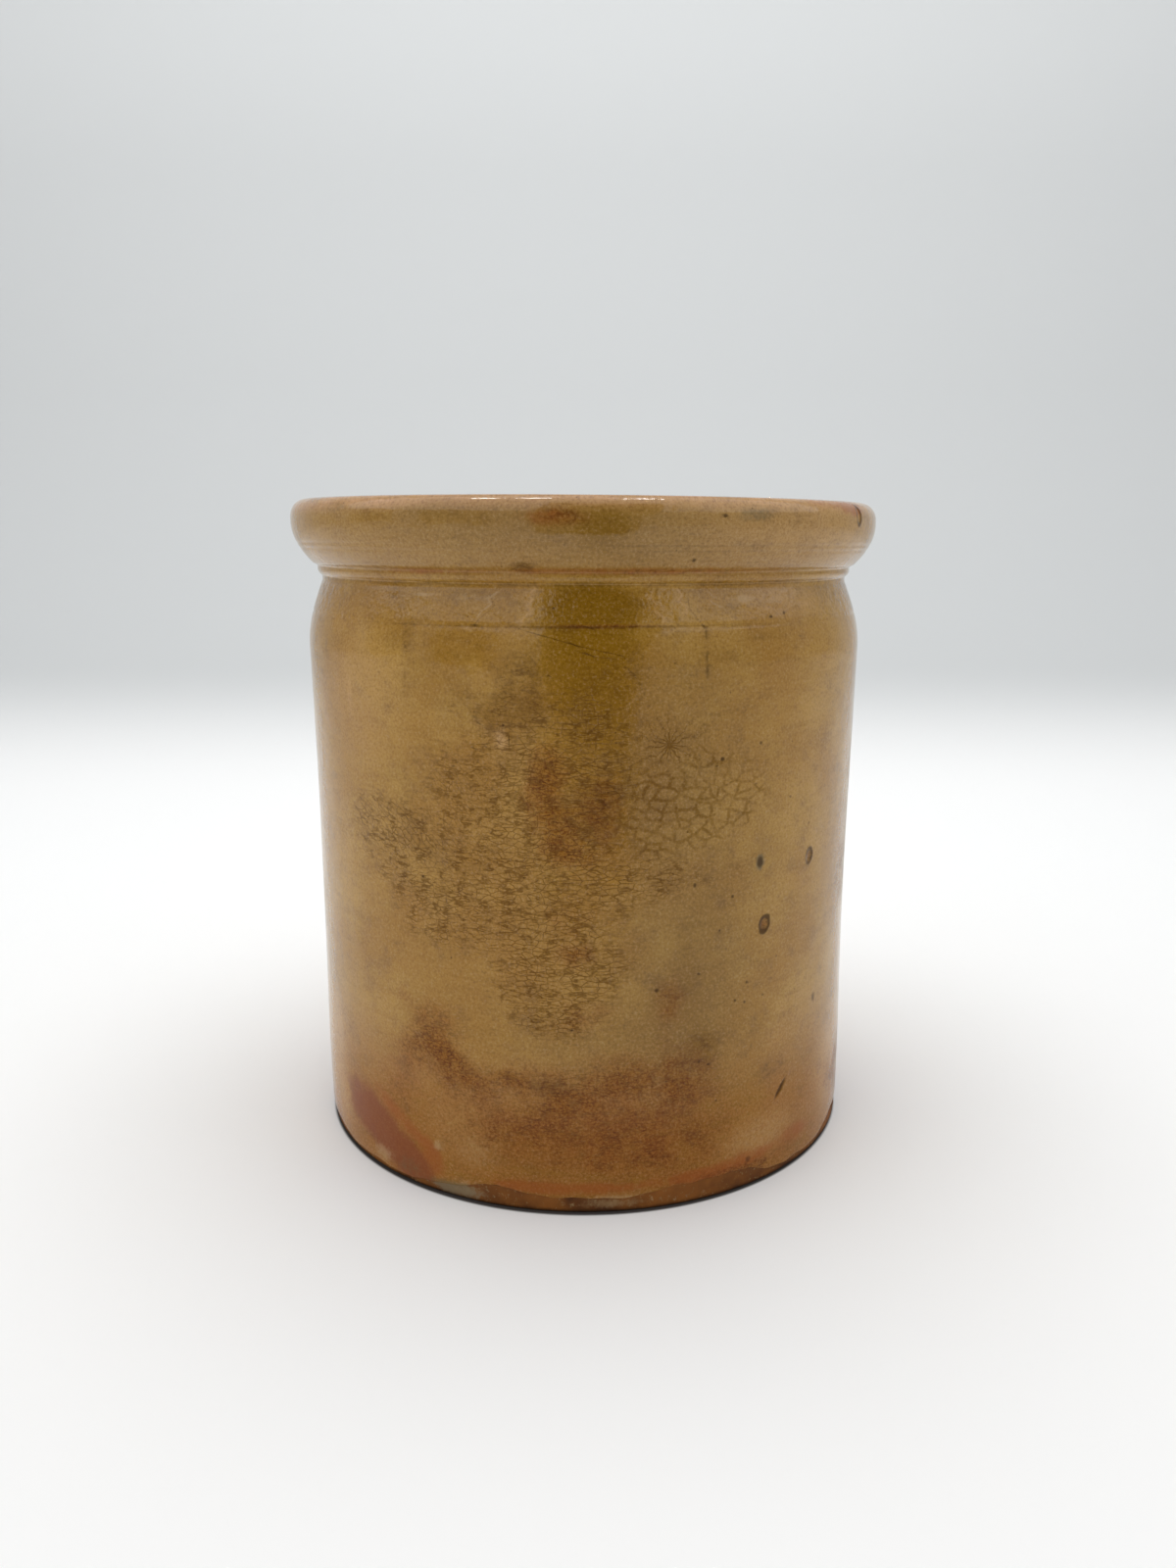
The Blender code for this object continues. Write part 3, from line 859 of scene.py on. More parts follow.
def long_cracks_and_glints() -> list[Hairline]:
    """Returns the single lines that stand out on the front, dirty cracks and painted highlights: half width,
    strength, and their places.
    """
    found = {
        Trace.DIRT_AND_SHADE: (
            (0.2, 0.64, 28.2, 141.0, 28.6, 137.0, 28.2, 133.0, 28.6, 127.5),
            (0.22, 0.59, 24.5, 148.5, 25.0, 145.0, 27.0, 142.5, 28.2, 141.0),
            (0.22, 0.59, -22.5, 148.5, -21.0, 146.0, -24.5, 142.8, -25.5, 141.5),
            (0.2, 0.55, -2.0, 136.5, 3.0, 135.0, 7.0, 134.6, 11.5, 131.0),
            (0.16, 0.38, -12.0, 138.0, -6.0, 137.0, 0.5, 135.5, 6.0, 131.5),
            (0.22, 0.64, -27.5, 124.5, -24.5, 120.0, -22.0, 118.5, -20.0, 118.0),
            (0.2, 0.55, -27.0, 114.5, -22.0, 112.8, -18.0, 109.5, -15.5, 105.5),
            (0.2, 0.51, -33.5, 115.0, -31.0, 112.5, -29.0, 112.0),
            (0.2, 0.42, -24.0, 131.5, -21.0, 130.0, -17.0, 130.5),
            (0.2, 0.42, 14.0, 125.0, 17.0, 122.0, 18.5, 119.0),
            (0.2, 0.42, 22.0, 125.5, 24.5, 121.0, 28.0, 119.0),
            (0.18, 0.47, 30.0, 32.0, 35.0, 31.6, 40.5, 30.8),
            (0.18, 0.47, 32.5, 22.6, 36.0, 22.4, 40.0, 23.6),
            (0.18, 0.42, -6.0, 76.4, -10.0, 76.8, -15.0, 76.2),
            (0.18, 0.47, -37.0, 77.5, -33.0, 75.5, -29.0, 72.5), (0.25, 0.51, 70.5, 128.0, 71.0, 123.5),
            (0.2, 0.62, -14.8, 141.0, -7.8, 139.2, 0.0, 137.1, 8.5, 135.3, 9.6, 133.8),
            (0.18, 0.5, -4.7, 139.2, 3.9, 133.9, 9.0, 132.6),
            (0.18, 0.42, -3.5, 142.9, 4.5, 140.1, 11.0, 139.0),
            (0.18, 0.5, 20.7, 141.3, 22.0, 138.0, 24.3, 135.0),
            (0.2, 0.58, 9.6, 132.3, 12.5, 129.2, 13.6, 126.1),
            (0.18, 0.44, 30.7, 134.1, 33.0, 133.0, 36.6, 129.8),
        ),
        # Painted highlights: bright wavering lines where the shoulder's reflection of the box's sides breaks
        # up
        Trace.THIN: (
            (
                0.32, 0.85, -11.6, 149.6, -13.0, 148.4, -11.9, 147.3, -13.2, 146.0, -12.4, 144.6, -13.9,
                143.2, -14.4, 142.0,
            ),
            (0.28, 0.75, 16.4, 149.0, 15.6, 147.6, 16.9, 146.2, 16.2, 144.8, 18.4, 143.4, 18.0, 142.2),
            (0.3, 0.8, 22.4, 149.4, 23.4, 148.0, 22.2, 146.9, 24.2, 145.6, 23.8, 144.2),
        ),
        # Painted highlights too, paler
        Trace.PALE_AND_GLINT: (
            (0.3, 0.8, -20.6, 148.8, -22.8, 147.4, -21.8, 146.2, -24.0, 144.6, -24.8, 143.4),
            (0.26, 0.7, 30.2, 149.2, 31.4, 147.6, 30.6, 146.6, 33.0, 145.4),
        ),
    }
    return [
        Hairline(tuple(zip(places[::2], places[1::2])), half_width, strength, trace)
        for trace, lines in found.items() for half_width, strength, *places in lines
    ]


def scars() -> tuple[Dent, ...]:
    """Returns the burst blisters, the nick, the chip in the rim and the drip of slip."""
    return (
        Dent(64.4, 82.9, 1.5, 2.0, 0.12, 0.05, -12, 0.35, 0.65),
        Dent(47.3, 68.8, 1.6, 2.0, 0.16, 0.06, -10, 0.12, 0.8),
        Dent(55.0, 23.4, 0.8, 3.8, 0.36, 0.1, -42, 1.0), Dent(76.6, 165.8, 1.4, 2.2, 0.3, 0.08, 0, 0.4, 0.75),
        Dent(-18.3, 116.8, 1.7, 2.6, -0.45, 0.0, 0, 0.0), Dent(-18.4, 119.6, 0.45, 0.5, 0.18, 0.05, 0, 0.9),
        Dent(-38.0, 13.4, 1.5, 1.9, -0.16, 0.0, 0, 0.0),
    )


@dataclass(frozen=True)
class Stain:
    """How a trace shows in the glaze.

    Attributes:
        trace: the trace.
        tatter_mm: size of the tatters of its edge.
        fray: how far the noise eats into it.
        seed: the seed of the noise.
        soft: half the width of its edge.
        colour: the sRGB hex colour that it lays over the glaze, if any.
        strength: how much of that colour lies there at most.
    """

    trace: Trace
    tatter_mm: float
    fray: float
    seed: float
    soft: float
    colour: str = ""
    strength: float = 0.0


@dataclass(frozen=True)
class Net:
    """A net of cracks: how wide its cells are, how many times wider than high, and half a crack's width."""

    cell_mm: float
    flatness: float
    line_mm: float
    seed: float


@dataclass(frozen=True)
class HoneyLeadGlaze:
    """Honey lead glaze over cream slip, poured and wood fired.

    The glaze is a clear amber glass: deep colour where it ran thick, a sharp gloss over soft
    colour, a net of brown crazing, and iron that bled up from the clay in plum patches. Its colour
    also carries painted shade in the crease and along the foot, and painted highlights and
    reflections on the shoulder and collar.
    """

    name: str = "honey_lead_glaze"
    honey: str = "9A6F26"
    honey_pale: str = "A88037"
    honey_deep: str = "855F12"
    honey_warm: str = "936029"
    rim: str = "9A7742"
    crest: str = "C2926A"
    dusk: str = "604514"
    soot: str = "5C3F20"
    rust: str = "5A2A0C"
    slip_pale: str = "B89A70"
    thin_and_glint: str = "C39A63"
    crack: str = "452608"
    hole: str = "34200F"
    amber: Stain = Stain(Trace.AMBER, 14.0, 0.8, 2.0, 0.35, "855F12", 1.0)
    iron: Stain = Stain(Trace.IRON, 6.0, 2.4, 4.0, 0.50, "81480F", 0.56)
    smoke: Stain = Stain(Trace.SMOKE, 4.0, 2.8, 6.0, 0.55, "5C3F20", 0.40)
    late_stains: tuple[Stain, ...] = (
        Stain(Trace.PLUM, 5.0, 2.0, 16.0, 0.35, "77381F", 0.72),
        Stain(Trace.EMBER, 3.0, 2.0, 7.0, 0.40, "8F4A1C", 0.65),
        # Pale lime and slip, and painted reflections and glints on the shoulder
        Stain(Trace.PALE_AND_GLINT, 1.3, 3.0, 8.0, 0.40, "B89A70", 0.45),
        Stain(Trace.OLIVE, 1.5, 2.6, 9.0, 0.40, "65583A", 0.70),
    )
    coarse: Stain = Stain(Trace.COARSE, 8.0, 1.3, 10.0, 0.40)
    fine: Stain = Stain(Trace.FINE, 9.0, 1.0, 12.0, 0.50, "81480F", 0.07)
    # Dirt in lines and scars, and painted shade in the crease and along the foot
    dirt_and_shade: Stain = Stain(Trace.DIRT_AND_SHADE, 1.8, 1.2, 14.0, 0.28, "34200F", 0.76)
    edge: float = 0.42
    painted_full: float = 0.85
    rust_net: Net = Net(1.35, 1.7, 0.24, 19.0)
    coarse_net: Net = Net(3.8, 1.4, 0.65, 11.0)
    level_net: Net = Net(2.8, 2.3, 0.17, 13.0)
    slanted_net: Net = Net(2.8, 2.3, 0.17, 29.0)
    slant_degrees: float = 38.0
    slanted_along_mm: tuple = (-16.0, 2.0)
    slanted_up_mm: tuple = (78.0, 92.0)
    crack_strengths: tuple = (0.40, 0.46, 0.62)
    dry_foot_mm: tuple = (10, 45)
    cloud_mm: float = 26.0
    mottle_mm: float = 5.5
    grain_mm: float = 0.7
    pinhole_mm: float = 4.2
    star_along_mm: float = 19.6
    star_up_mm: float = 115.0
    star_rays: int = 15
    star_strength: float = 1.0
    gloss: float = 0.11
    worn: float = 0.30
    ior: float = 1.46
    glossy_specular: float = 0.44
    dry_specular: float = 0.14
    collar_mm: tuple = (150.5, 154.5)
    crest_mm: tuple = (165.5, 169.0)
    shoulder_mm: tuple = (140.5, 142.5, 148.5, 150.5)

    def noise(self, add, place, size_mm: float, seed: float, detail: float = 3.0, roughness: float = 0.55):
        """Returns cloudy variation at a size in millimetres, about 0.5 in the middle."""
        return add(
            "TexNoise:4D",
            {"Vector": place, "W": seed, "Scale": 1 / size_mm, "Detail": detail, "Roughness": roughness},
        )

    def unrolled(self, add, place):
        """Returns places on the wall laid flat: millimetres along it from the front, and up."""
        across = add("SeparateXYZ", (place,), "X")
        deep, high = across.node.outputs["Y"], across.node.outputs["Z"]
        facing = add(TIMES, (deep, -1.0))
        turn = add("Math:ARCTAN2", (across, facing))
        along = add(TIMES, (turn, JarForm.body_radius / MM))
        return add("CombineXYZ", (along, high))

    def frayed(self, add, place, stain: Stain):
        """Reads a stain's trace from the mesh and frays its edge.

        Args:
            add: the function that adds a node to the tree.
            place: coordinates in millimetres.
            stain: the stain.

        Returns:
            The mask, from 0 to 1.
        """
        painted = add("Attribute", output="Fac", attribute_name=stain.trace.value)
        noise = self.noise(add, place, stain.tatter_mm, stain.seed, 6.0, 0.72)
        tatter = add("Math:SUBTRACT", (noise, 0.5))
        tatter = add("Math:MULTIPLY_ADD", (tatter, stain.fray, painted))
        mask = add(STEP, (tatter, self.edge - stain.soft, self.edge + stain.soft))
        return add(TIMES, (mask, add(STEP, (painted, 0.0, self.painted_full))))

    def cracks(self, add, wall, net: Net, covered):
        """Returns the cracks between the cells of a crazed glaze.

        Args:
            add: the function that adds a node to the tree.
            wall: places on the wall laid flat, in millimetres.
            net: the size of cells and cracks.
            covered: how crazed the glaze is, from 0 to 1; where it is less so, the cracks break up.

        Returns:
            The mask of the cracks, from 0 to 1.
        """
        bent = wall
        for size, sway in ((4.5 * net.cell_mm, 0.9 * net.cell_mm), (0.7 * net.cell_mm, 0.16 * net.cell_mm)):
            waver = {"Vector": wall, "W": net.seed + size, "Scale": 1 / size, "Detail": 2.0}
            noise = add("TexNoise:4D", waver, "Color")
            noise = add("VectorMath:SUBTRACT", (noise, (0.5,) * 3))
            bent = add("VectorMath:MULTIPLY_ADD", (noise, (2 * sway, 2 * sway / net.flatness, 0.0), bent))
        flat = add("VectorMath:MULTIPLY", (bent, (1.0, net.flatness, 0.0)))
        cell = {"Vector": flat, "Scale": 1 / net.cell_mm}
        first, second = (add("TexVoronoi:2D", cell, "Position", feature=rank) for rank in ("F1", "F2"))
        across = add("VectorMath:SUBTRACT", (second, first))
        middle = add("Mix:VECTOR", {0: 0.5, 4: first, 5: second}, 1)
        edge = add("VectorMath:SUBTRACT", (middle, flat))
        edge = add("VectorMath:DOT_PRODUCT", (edge, across), "Value")
        across = add("VectorMath:MULTIPLY", (across, (1.0, net.flatness, 0.0)))
        across = add("VectorMath:LENGTH", (across,), "Value")
        edge = add("Math:DIVIDE", (edge, across))
        line = add(STEP, (edge, 0.25 * net.line_mm, net.line_mm, 1.0, 0.0))
        broken = self.noise(add, wall, 1.6 * net.cell_mm, net.seed + 7, 4.0, 0.75)
        spread = add("Math:MULTIPLY_ADD", (covered, 0.4, broken))
        line = add(TIMES, (line, add(STEP, (spread, 0.64, 1.02))))
        return add(TIMES, (line, add(STEP, (covered, 0.0, 0.55))))

    def strands(self, add, wall, size_mm: float, line: float, seed: float):
        """Returns long wavering cracks that run mostly level, as the glaze pulled on the wheel.

        Args:
            add: the function that adds a node to the tree.
            wall: places on the wall laid flat, in millimetres.
            size_mm: the gap between strands.
            line: half the width of a strand, as a share of the noise's range.
            seed: the seed of the pattern.

        Returns:
            The mask of the strands, from 0 to 1.
        """
        drawn = add("VectorMath:MULTIPLY", (wall, (0.32, 1.0, 0.0)))
        wave = self.noise(add, drawn, size_mm, seed, 3.0, 0.55)
        wave = add("Math:SUBTRACT", (wave, 0.5))
        wave = add("Math:ABSOLUTE", (wave,))
        strand = add(STEP, (wave, 0.2 * line, line, 1.0, 0.0))
        broken = self.noise(add, wall, 2.6 * size_mm, seed + 3, 3.0, 0.7)
        return add(TIMES, (strand, add(STEP, (broken, 0.4, 0.58, 0.1, 1.0))))

    def star(self, add, wall):
        """Returns the cracks that run out from the point where the wall was once knocked."""
        away = add("VectorMath:SUBTRACT", (wall, (self.star_along_mm, self.star_up_mm, 0.0)))
        aside = add("SeparateXYZ", (away,), "X")
        turn = add("Math:ARCTAN2", (aside.node.outputs["Y"], aside))
        away = add("VectorMath:LENGTH", (away,), "Value")
        sway = add(TIMES, (self.noise(add, wall, 3.0, 31.0, 5.0, 0.7), 3.4))
        turn = add("Math:MULTIPLY_ADD", (turn, self.star_rays / TAU, sway))
        ray = add("Math:FLOOR", (turn,))
        off = add("Math:FRACT", (turn,))
        off = add("Math:SUBTRACT", (off, 0.5))
        off = add("Math:ABSOLUTE", (off,))
        off = add(TIMES, (add(TIMES, (off, away)), TAU / self.star_rays))
        line = add(STEP, (off, 0.05, 0.22, 1.0, 0.0))
        reach = add("TexWhiteNoise:1D", {"W": ray}, "Value")
        reach = add("Math:MULTIPLY_ADD", (reach, 9.0, 5.0))
        fade = add("Math:DIVIDE", (away, reach))
        return add(TIMES, (line, add(STEP, (fade, 0.45, 1.1, self.star_strength, 0.0))))

    def over(self, add, under, colour: str, mask, strength: float = 1.0):
        """Lays a colour over another where a mask says.

        Args:
            add: the function that adds a node to the tree.
            under: the colour so far.
            colour: the sRGB hex colour laid over it.
            mask: where it goes, from 0 to 1.
            strength: how much of it goes there at most.

        Returns:
            The new colour.
        """
        amount = add(TIMES, (mask, strength), use_clamp=True)
        return add("Mix:RGBA", {0: amount, 6: under, 7: linear(colour)}, 2)

    def glass(self, add, place):
        """Returns the colour of the glaze itself: clouds, a warmer foot, and thick amber."""
        clouds = self.noise(add, place, self.cloud_mm, 1.0)
        thick = add(STEP, (clouds, 0.36, 0.64))
        colour = add("Mix:RGBA", {0: thick, 6: linear(self.honey_pale), 7: linear(self.honey)}, 2)
        high = add("SeparateXYZ", (place,), "Z")
        low = add("Math:MULTIPLY_ADD", (clouds, 40.0, high))
        colour = self.over(add, colour, self.honey_warm, add(STEP, (low, 36.0, 68.0, 1.0, 0.0)), 0.9)
        amber = self.frayed(add, place, self.amber)
        colour = self.over(add, colour, self.amber.colour, amber, self.amber.strength)

        # Level streaks of the wheel, and the collar's thinner, browner glaze
        drawn = add("VectorMath:MULTIPLY", (place, (1.0, 1.0, 6.0)))
        streaks = self.noise(add, drawn, 10.0, 15.0, 5.0, 0.65)
        colour = self.over(add, colour, self.honey_deep, add(STEP, (streaks, 0.44, 0.7)), 0.4)
        rim = add(STEP, (streaks, 0.3, 0.62, 1.0, 0.62))
        rim = add(TIMES, (rim, add(STEP, (high, *self.collar_mm))))
        rim = add(TIMES, (rim, add(STEP, (amber, 0.0, 1.0, 1.0, 0.35))))
        colour = self.over(add, colour, self.rim, rim, 0.85)
        brushed = add("VectorMath:MULTIPLY", (place, (1.0, 1.0, 9.0)))
        brushed = self.noise(add, brushed, 5.0, 27.0, 4.0, 0.6)
        brushed = add(TIMES, (add(STEP, (brushed, 0.5, 0.66)), add(STEP, (high, *self.collar_mm))))
        colour = self.over(add, colour, self.honey_deep, brushed, 0.3)
        crest = add(TIMES, (add(STEP, (high, *self.crest_mm)), add(STEP, (streaks, 0.35, 0.65, 1.0, 0.5))))
        colour = self.over(add, colour, self.crest, crest, 0.65)
        # Darker glaze in soft patches, with a painted reflection: a darker band across the collar's front,
        # where it mirrors the dark opening
        dusk = add("Attribute", output="Fac", attribute_name=Trace.DUSK.value)
        dusk = add(TIMES, (dusk, add(STEP, (clouds, 0.25, 0.6, 0.6, 1.0))))
        colour = self.over(add, colour, self.dusk, dusk, 0.45)
        # Thin glaze over the slip, with painted highlights on the shoulder and a painted light streak on the
        # left
        thin_and_glint = add("Attribute", output="Fac", attribute_name=Trace.THIN.value)
        thin_and_glint = add(TIMES, (thin_and_glint, add(STEP, (streaks, 0.2, 0.6, 0.7, 1.0))))
        return self.over(add, colour, self.thin_and_glint, thin_and_glint, 0.7)

    def stained(self, add, place, wall, colour, mottle):
        """Lays iron from the clay and smoke from the fire over the glaze, as stains, flecks and cracks.

        Args:
            add: the function that adds a node to the tree.
            place: coordinates in millimetres.
            wall: places on the wall laid flat, in millimetres.
            colour: the glaze's colour so far.
            mottle: the glaze's mottling.

        Returns:
            The new colour, and the masks of iron and smoke.
        """
        colour = self.over(add, colour, self.soot, add(STEP, (mottle, 0.48, 0.72)), 0.34)
        grain = self.noise(add, wall, self.grain_mm, 5.0, 4.0, 0.75)
        colour = self.over(add, colour, self.crack, add(STEP, (grain, 0.48, 0.64)), 0.33)
        colour = self.over(add, colour, self.slip_pale, add(STEP, (grain, 0.36, 0.48, 1.0, 0.0)), 0.25)
        flecks = add(STEP, (grain, 0.48, 0.58))
        iron = self.frayed(add, place, self.iron)
        colour = self.over(add, colour, self.iron.colour, iron, self.iron.strength)
        rust = self.cracks(add, wall, self.rust_net, iron)
        rust = add("Math:MULTIPLY_ADD", (flecks, 0.75, rust))
        colour = self.over(add, colour, self.rust, add(TIMES, (iron, rust)), 0.64)
        smoke = self.frayed(add, place, self.smoke)
        colour = self.over(add, colour, self.smoke.colour, smoke, self.smoke.strength)
        colour = self.over(add, colour, self.crack, add(TIMES, (smoke, flecks)), 0.08)
        for stain in self.late_stains:
            colour = self.over(add, colour, stain.colour, self.frayed(add, place, stain), stain.strength)
        return colour, iron, smoke

    def fine_cracks(self, add, wall, crazed, mottle):
        """Returns the fine net, whose cells lie level but slant on the left, with its level strands.

        Args:
            add: the function that adds a node to the tree.
            wall: places on the wall laid flat, in millimetres.
            crazed: how crazed the glaze is.
            mottle: the glaze's mottling, which frays the line between the two nets.

        Returns:
            The mask of the cracks, from 0 to 1.
        """
        level = self.cracks(add, wall, self.level_net, crazed)
        turn = {"Vector": wall, "Angle": math.radians(self.slant_degrees)}
        slanted = add("VectorRotate", turn, rotation_type="Z_AXIS")
        slanted = self.cracks(add, slanted, self.slanted_net, crazed)
        aside = add("SeparateXYZ", (wall,), "X")
        up = aside.node.outputs["Y"]
        aside = add("Math:MULTIPLY_ADD", (mottle, 40.0, aside))
        aside = add(STEP, (aside, *self.slanted_along_mm, 1.0, 0.0))
        aside = add(TIMES, (aside, add(STEP, (up, *self.slanted_up_mm))))
        fine = add("Mix:FLOAT", {0: aside, 2: level, 3: slanted})
        strands = add(TIMES, (self.strands(add, wall, 1.5, 0.065, 17.0), crazed))
        return add("Math:MAXIMUM", (fine, strands))

    def pinholes(self, add, place):
        """Returns the holes that gas left in the melt, from 0 to 1."""
        hole = add("TexVoronoi:3D", {"Vector": place, "Scale": 1 / self.pinhole_mm}, "Distance")
        spot = add("SeparateColor", (hole.node.outputs["Color"],), "Red")
        rare = add("Math:GREATER_THAN", (spot, 0.62))
        hole = add(STEP, (hole, 0.1 / self.pinhole_mm, 0.3 / self.pinhole_mm, 1.0, 0.0))
        return add(TIMES, (hole, rare))

    def relief(self, add, place, high, hollow):
        """Returns the normal of the melt's slow ripples and orange peel, with sunk cracks and holes.

        Args:
            add: the function that adds a node to the tree.
            place: coordinates in millimetres.
            high: millimetres above the table.
            hollow: the mask of cracks and holes.

        Returns:
            The normal.
        """
        start, full, fading, end = self.shoulder_mm
        ripple = self.noise(add, place, 4.5, 22.0, 2.0, 0.5)
        peel = self.noise(add, place, 1.6, 21.0, 2.0, 0.5)
        height = add("Math:MULTIPLY_ADD", (ripple, 4.0, peel))
        wrinkle = self.noise(add, place, 2.4, 23.0, 3.0, 0.6)
        pulled = add(TIMES, (add(STEP, (high, start, full)), add(STEP, (high, fading, end, 9.0, 0.0))))
        height = add("Math:MULTIPLY_ADD", (wrinkle, pulled, height))
        height = add("Math:MULTIPLY_ADD", (hollow, -0.9, height))
        return add("Bump", {"Strength": 0.5, "Distance": 0.08 * MM, "Height": height}, "Normal")

    def material(self) -> bpy.types.Material:
        """Builds the material."""
        material, add, shader = new_material(self.name)
        place = add("VectorMath:SCALE", {0: add("TexCoord", output="Object"), "Scale": 1 / MM})
        wall = self.unrolled(add, place)
        mottle = self.noise(add, place, self.mottle_mm, 3.0, 8.0, 0.7)
        colour, iron, smoke = self.stained(add, place, wall, self.glass(add, place), mottle)

        # Crazing: a coarse soft net, the fine sharp one, and the star
        coarse = self.cracks(add, wall, self.coarse_net, self.frayed(add, place, self.coarse))
        fine_place = self.frayed(add, place, self.fine)
        marked = add(TIMES, (add("Math:MAXIMUM", (iron, smoke)), 0.8))
        fine = self.fine_cracks(add, wall, add("Math:MAXIMUM", (fine_place, marked)), mottle)
        star = self.star(add, wall)
        colour = self.over(add, colour, self.fine.colour, fine_place, self.fine.strength)
        for cracks, strength in zip((coarse, star, fine), self.crack_strengths):
            colour = self.over(add, colour, self.crack, cracks, strength)
        sharp = add("Math:MAXIMUM", (fine, star))

        # Pinholes, and dirt in lines and scars, with painted shade along the crease under the bead and along
        # the foot
        hole = self.pinholes(add, place)
        colour = self.over(add, colour, self.hole, hole, 0.6)
        dirt_and_shade = self.frayed(add, place, self.dirt_and_shade)
        colour = self.over(add, colour, self.dirt_and_shade.colour, dirt_and_shade, self.dirt_and_shade.strength)

        # Gloss, dulled where the glaze is crazed or stained, and dry towards the foot
        high = add("SeparateXYZ", (place,), "Z")
        dry = add("Math:MAXIMUM", (marked, add(STEP, (high, *self.dry_foot_mm, 1.0, 0.0))))
        for mask in (sharp, coarse, dirt_and_shade, hole):
            dry = add("Math:MAXIMUM", (dry, mask))
        dry = add(STEP, (dry, 0.0, 1.0, self.glossy_specular, self.dry_specular))
        dull = add("Math:MAXIMUM", (fine_place, iron))
        dull = add(TIMES, (dull, add(STEP, (mottle, 0.3, 0.7, 0.2, 1.0))))
        rough = add("MapRange", {0: dull, 3: self.gloss, 4: self.worn})
        normal = self.relief(add, place, high, add("Math:MAXIMUM", (sharp, hole)))
        plug(shader, {
            "Base Color": colour, "Specular IOR Level": dry, "Roughness": rough, "IOR": self.ior,
            "Normal": normal,
        })
        return material


@dataclass(frozen=True)
class LiningGlaze(HoneyLeadGlaze):
    """The same lead glaze inside, thinner and paler over the cream slip, with little crazing."""

    name: str = "pale_honey_lining_glaze"
    star_strength: float = 0.0

    def unrolled(self, add, place):
        """Returns the place as it is, so that no grain radiates from the middle of the floor."""
        return place


@dataclass(frozen=True)
class CreamSlip:
    """Cream slip: a thin, matt coat of white clay, warm from the red body under it."""

    name: str = "cream_slip"
    cream: str = "CDB084"
    warm: str = "B98F62"
    brush_mm: float = 6.0

    def material(self) -> bpy.types.Material:
        """Builds the material."""
        material, add, shader = new_material(self.name)
        place = add("VectorMath:SCALE", {0: add("TexCoord", output="Object"), "Scale": 1 / MM})
        streak = add("TexNoise:4D", {"Vector": place, "W": 1.0, "Scale": 1 / self.brush_mm, "Detail": 4.0})
        colour = add("Mix:RGBA", {0: streak, 6: linear(self.warm), 7: linear(self.cream)}, 2)
        plug(shader, {"Base Color": colour, "Roughness": add("MapRange", {0: streak, 3: 0.55, 4: 0.75})})
        return material


@dataclass(frozen=True)
class RedEarthenware:
    """Low-fired red clay: open, matt and gritty, darker where hands and fat have soaked in, with painted
    shade along the lowest edge of the foot.
    """

    name: str = "fired_red_earthenware"
    clay: str = "824F1F"
    dark: str = "4E2C12"
    lime: str = "957A55"
    olive: str = "7C6C52"
    # Painted shade of the foot's lowest edge
    foot_shade: str = "241608"
    grit_mm: float = 1.1
    blotch_mm: float = 9.0
    specular: float = 0.15

    def material(self) -> bpy.types.Material:
        """Builds the material."""
        material, add, shader = new_material(self.name)
        place = add("VectorMath:SCALE", {0: add("TexCoord", output="Object"), "Scale": 1 / MM})
        blotch = add("TexNoise:4D", {"Vector": place, "W": 4.0, "Scale": 1 / self.blotch_mm, "Detail": 5.0})
        soaked = add("MapRange", (blotch, 0.38, 0.66))
        colour = add("Mix:RGBA", {0: soaked, 6: linear(self.clay), 7: linear(self.dark)}, 2)
        grit = add(
            "TexNoise:4D",
            {"Vector": place, "W": 6.0, "Scale": 1 / self.grit_mm, "Detail": 4.0, "Roughness": 0.7},
        )
        speck = add("MapRange", (grit, 0.58, 0.72))
        colour = add("Mix:RGBA", {0: speck, 6: colour, 7: linear(self.lime)}, 2)
        for trace, tint, strength in ((Trace.PALE_AND_GLINT, self.lime, 0.55), (Trace.OLIVE, self.olive, 0.8)):
            painted = add("Attribute", output="Fac", attribute_name=trace.value)
            painted = add("Math:MULTIPLY_ADD", (blotch, 0.9, painted))
            painted = add("Math:MULTIPLY_ADD", (grit, 1.2, painted))
            painted = add(STEP, {0: painted, 1: 1.35, 2: 1.85, 4: strength})
            colour = add("Mix:RGBA", {0: painted, 6: colour, 7: linear(tint)}, 2)
        # Painted shade: the lowest one or two millimetres of the foot darken, where it turns under towards
        # the table
        high = add("SeparateXYZ", (place,), "Z")
        foot_shaded = add("Math:MULTIPLY_ADD", (grit, 0.8, high))
        foot_shaded = add(STEP, (foot_shaded, 0.5, 1.7, 0.85, 0.0))
        colour = add("Mix:RGBA", {0: foot_shaded, 6: colour, 7: linear(self.foot_shade)}, 2)
        rough = add("MapRange", {0: grit, 3: 0.5, 4: 0.9})
        bump = add("Bump", {"Strength": 0.6, "Distance": 0.12 * MM, "Height": grit}, "Normal")
        plug(shader, {
            "Base Color": colour, "Roughness": rough, "Specular IOR Level": self.specular, "Normal": bump,
        })
        return material


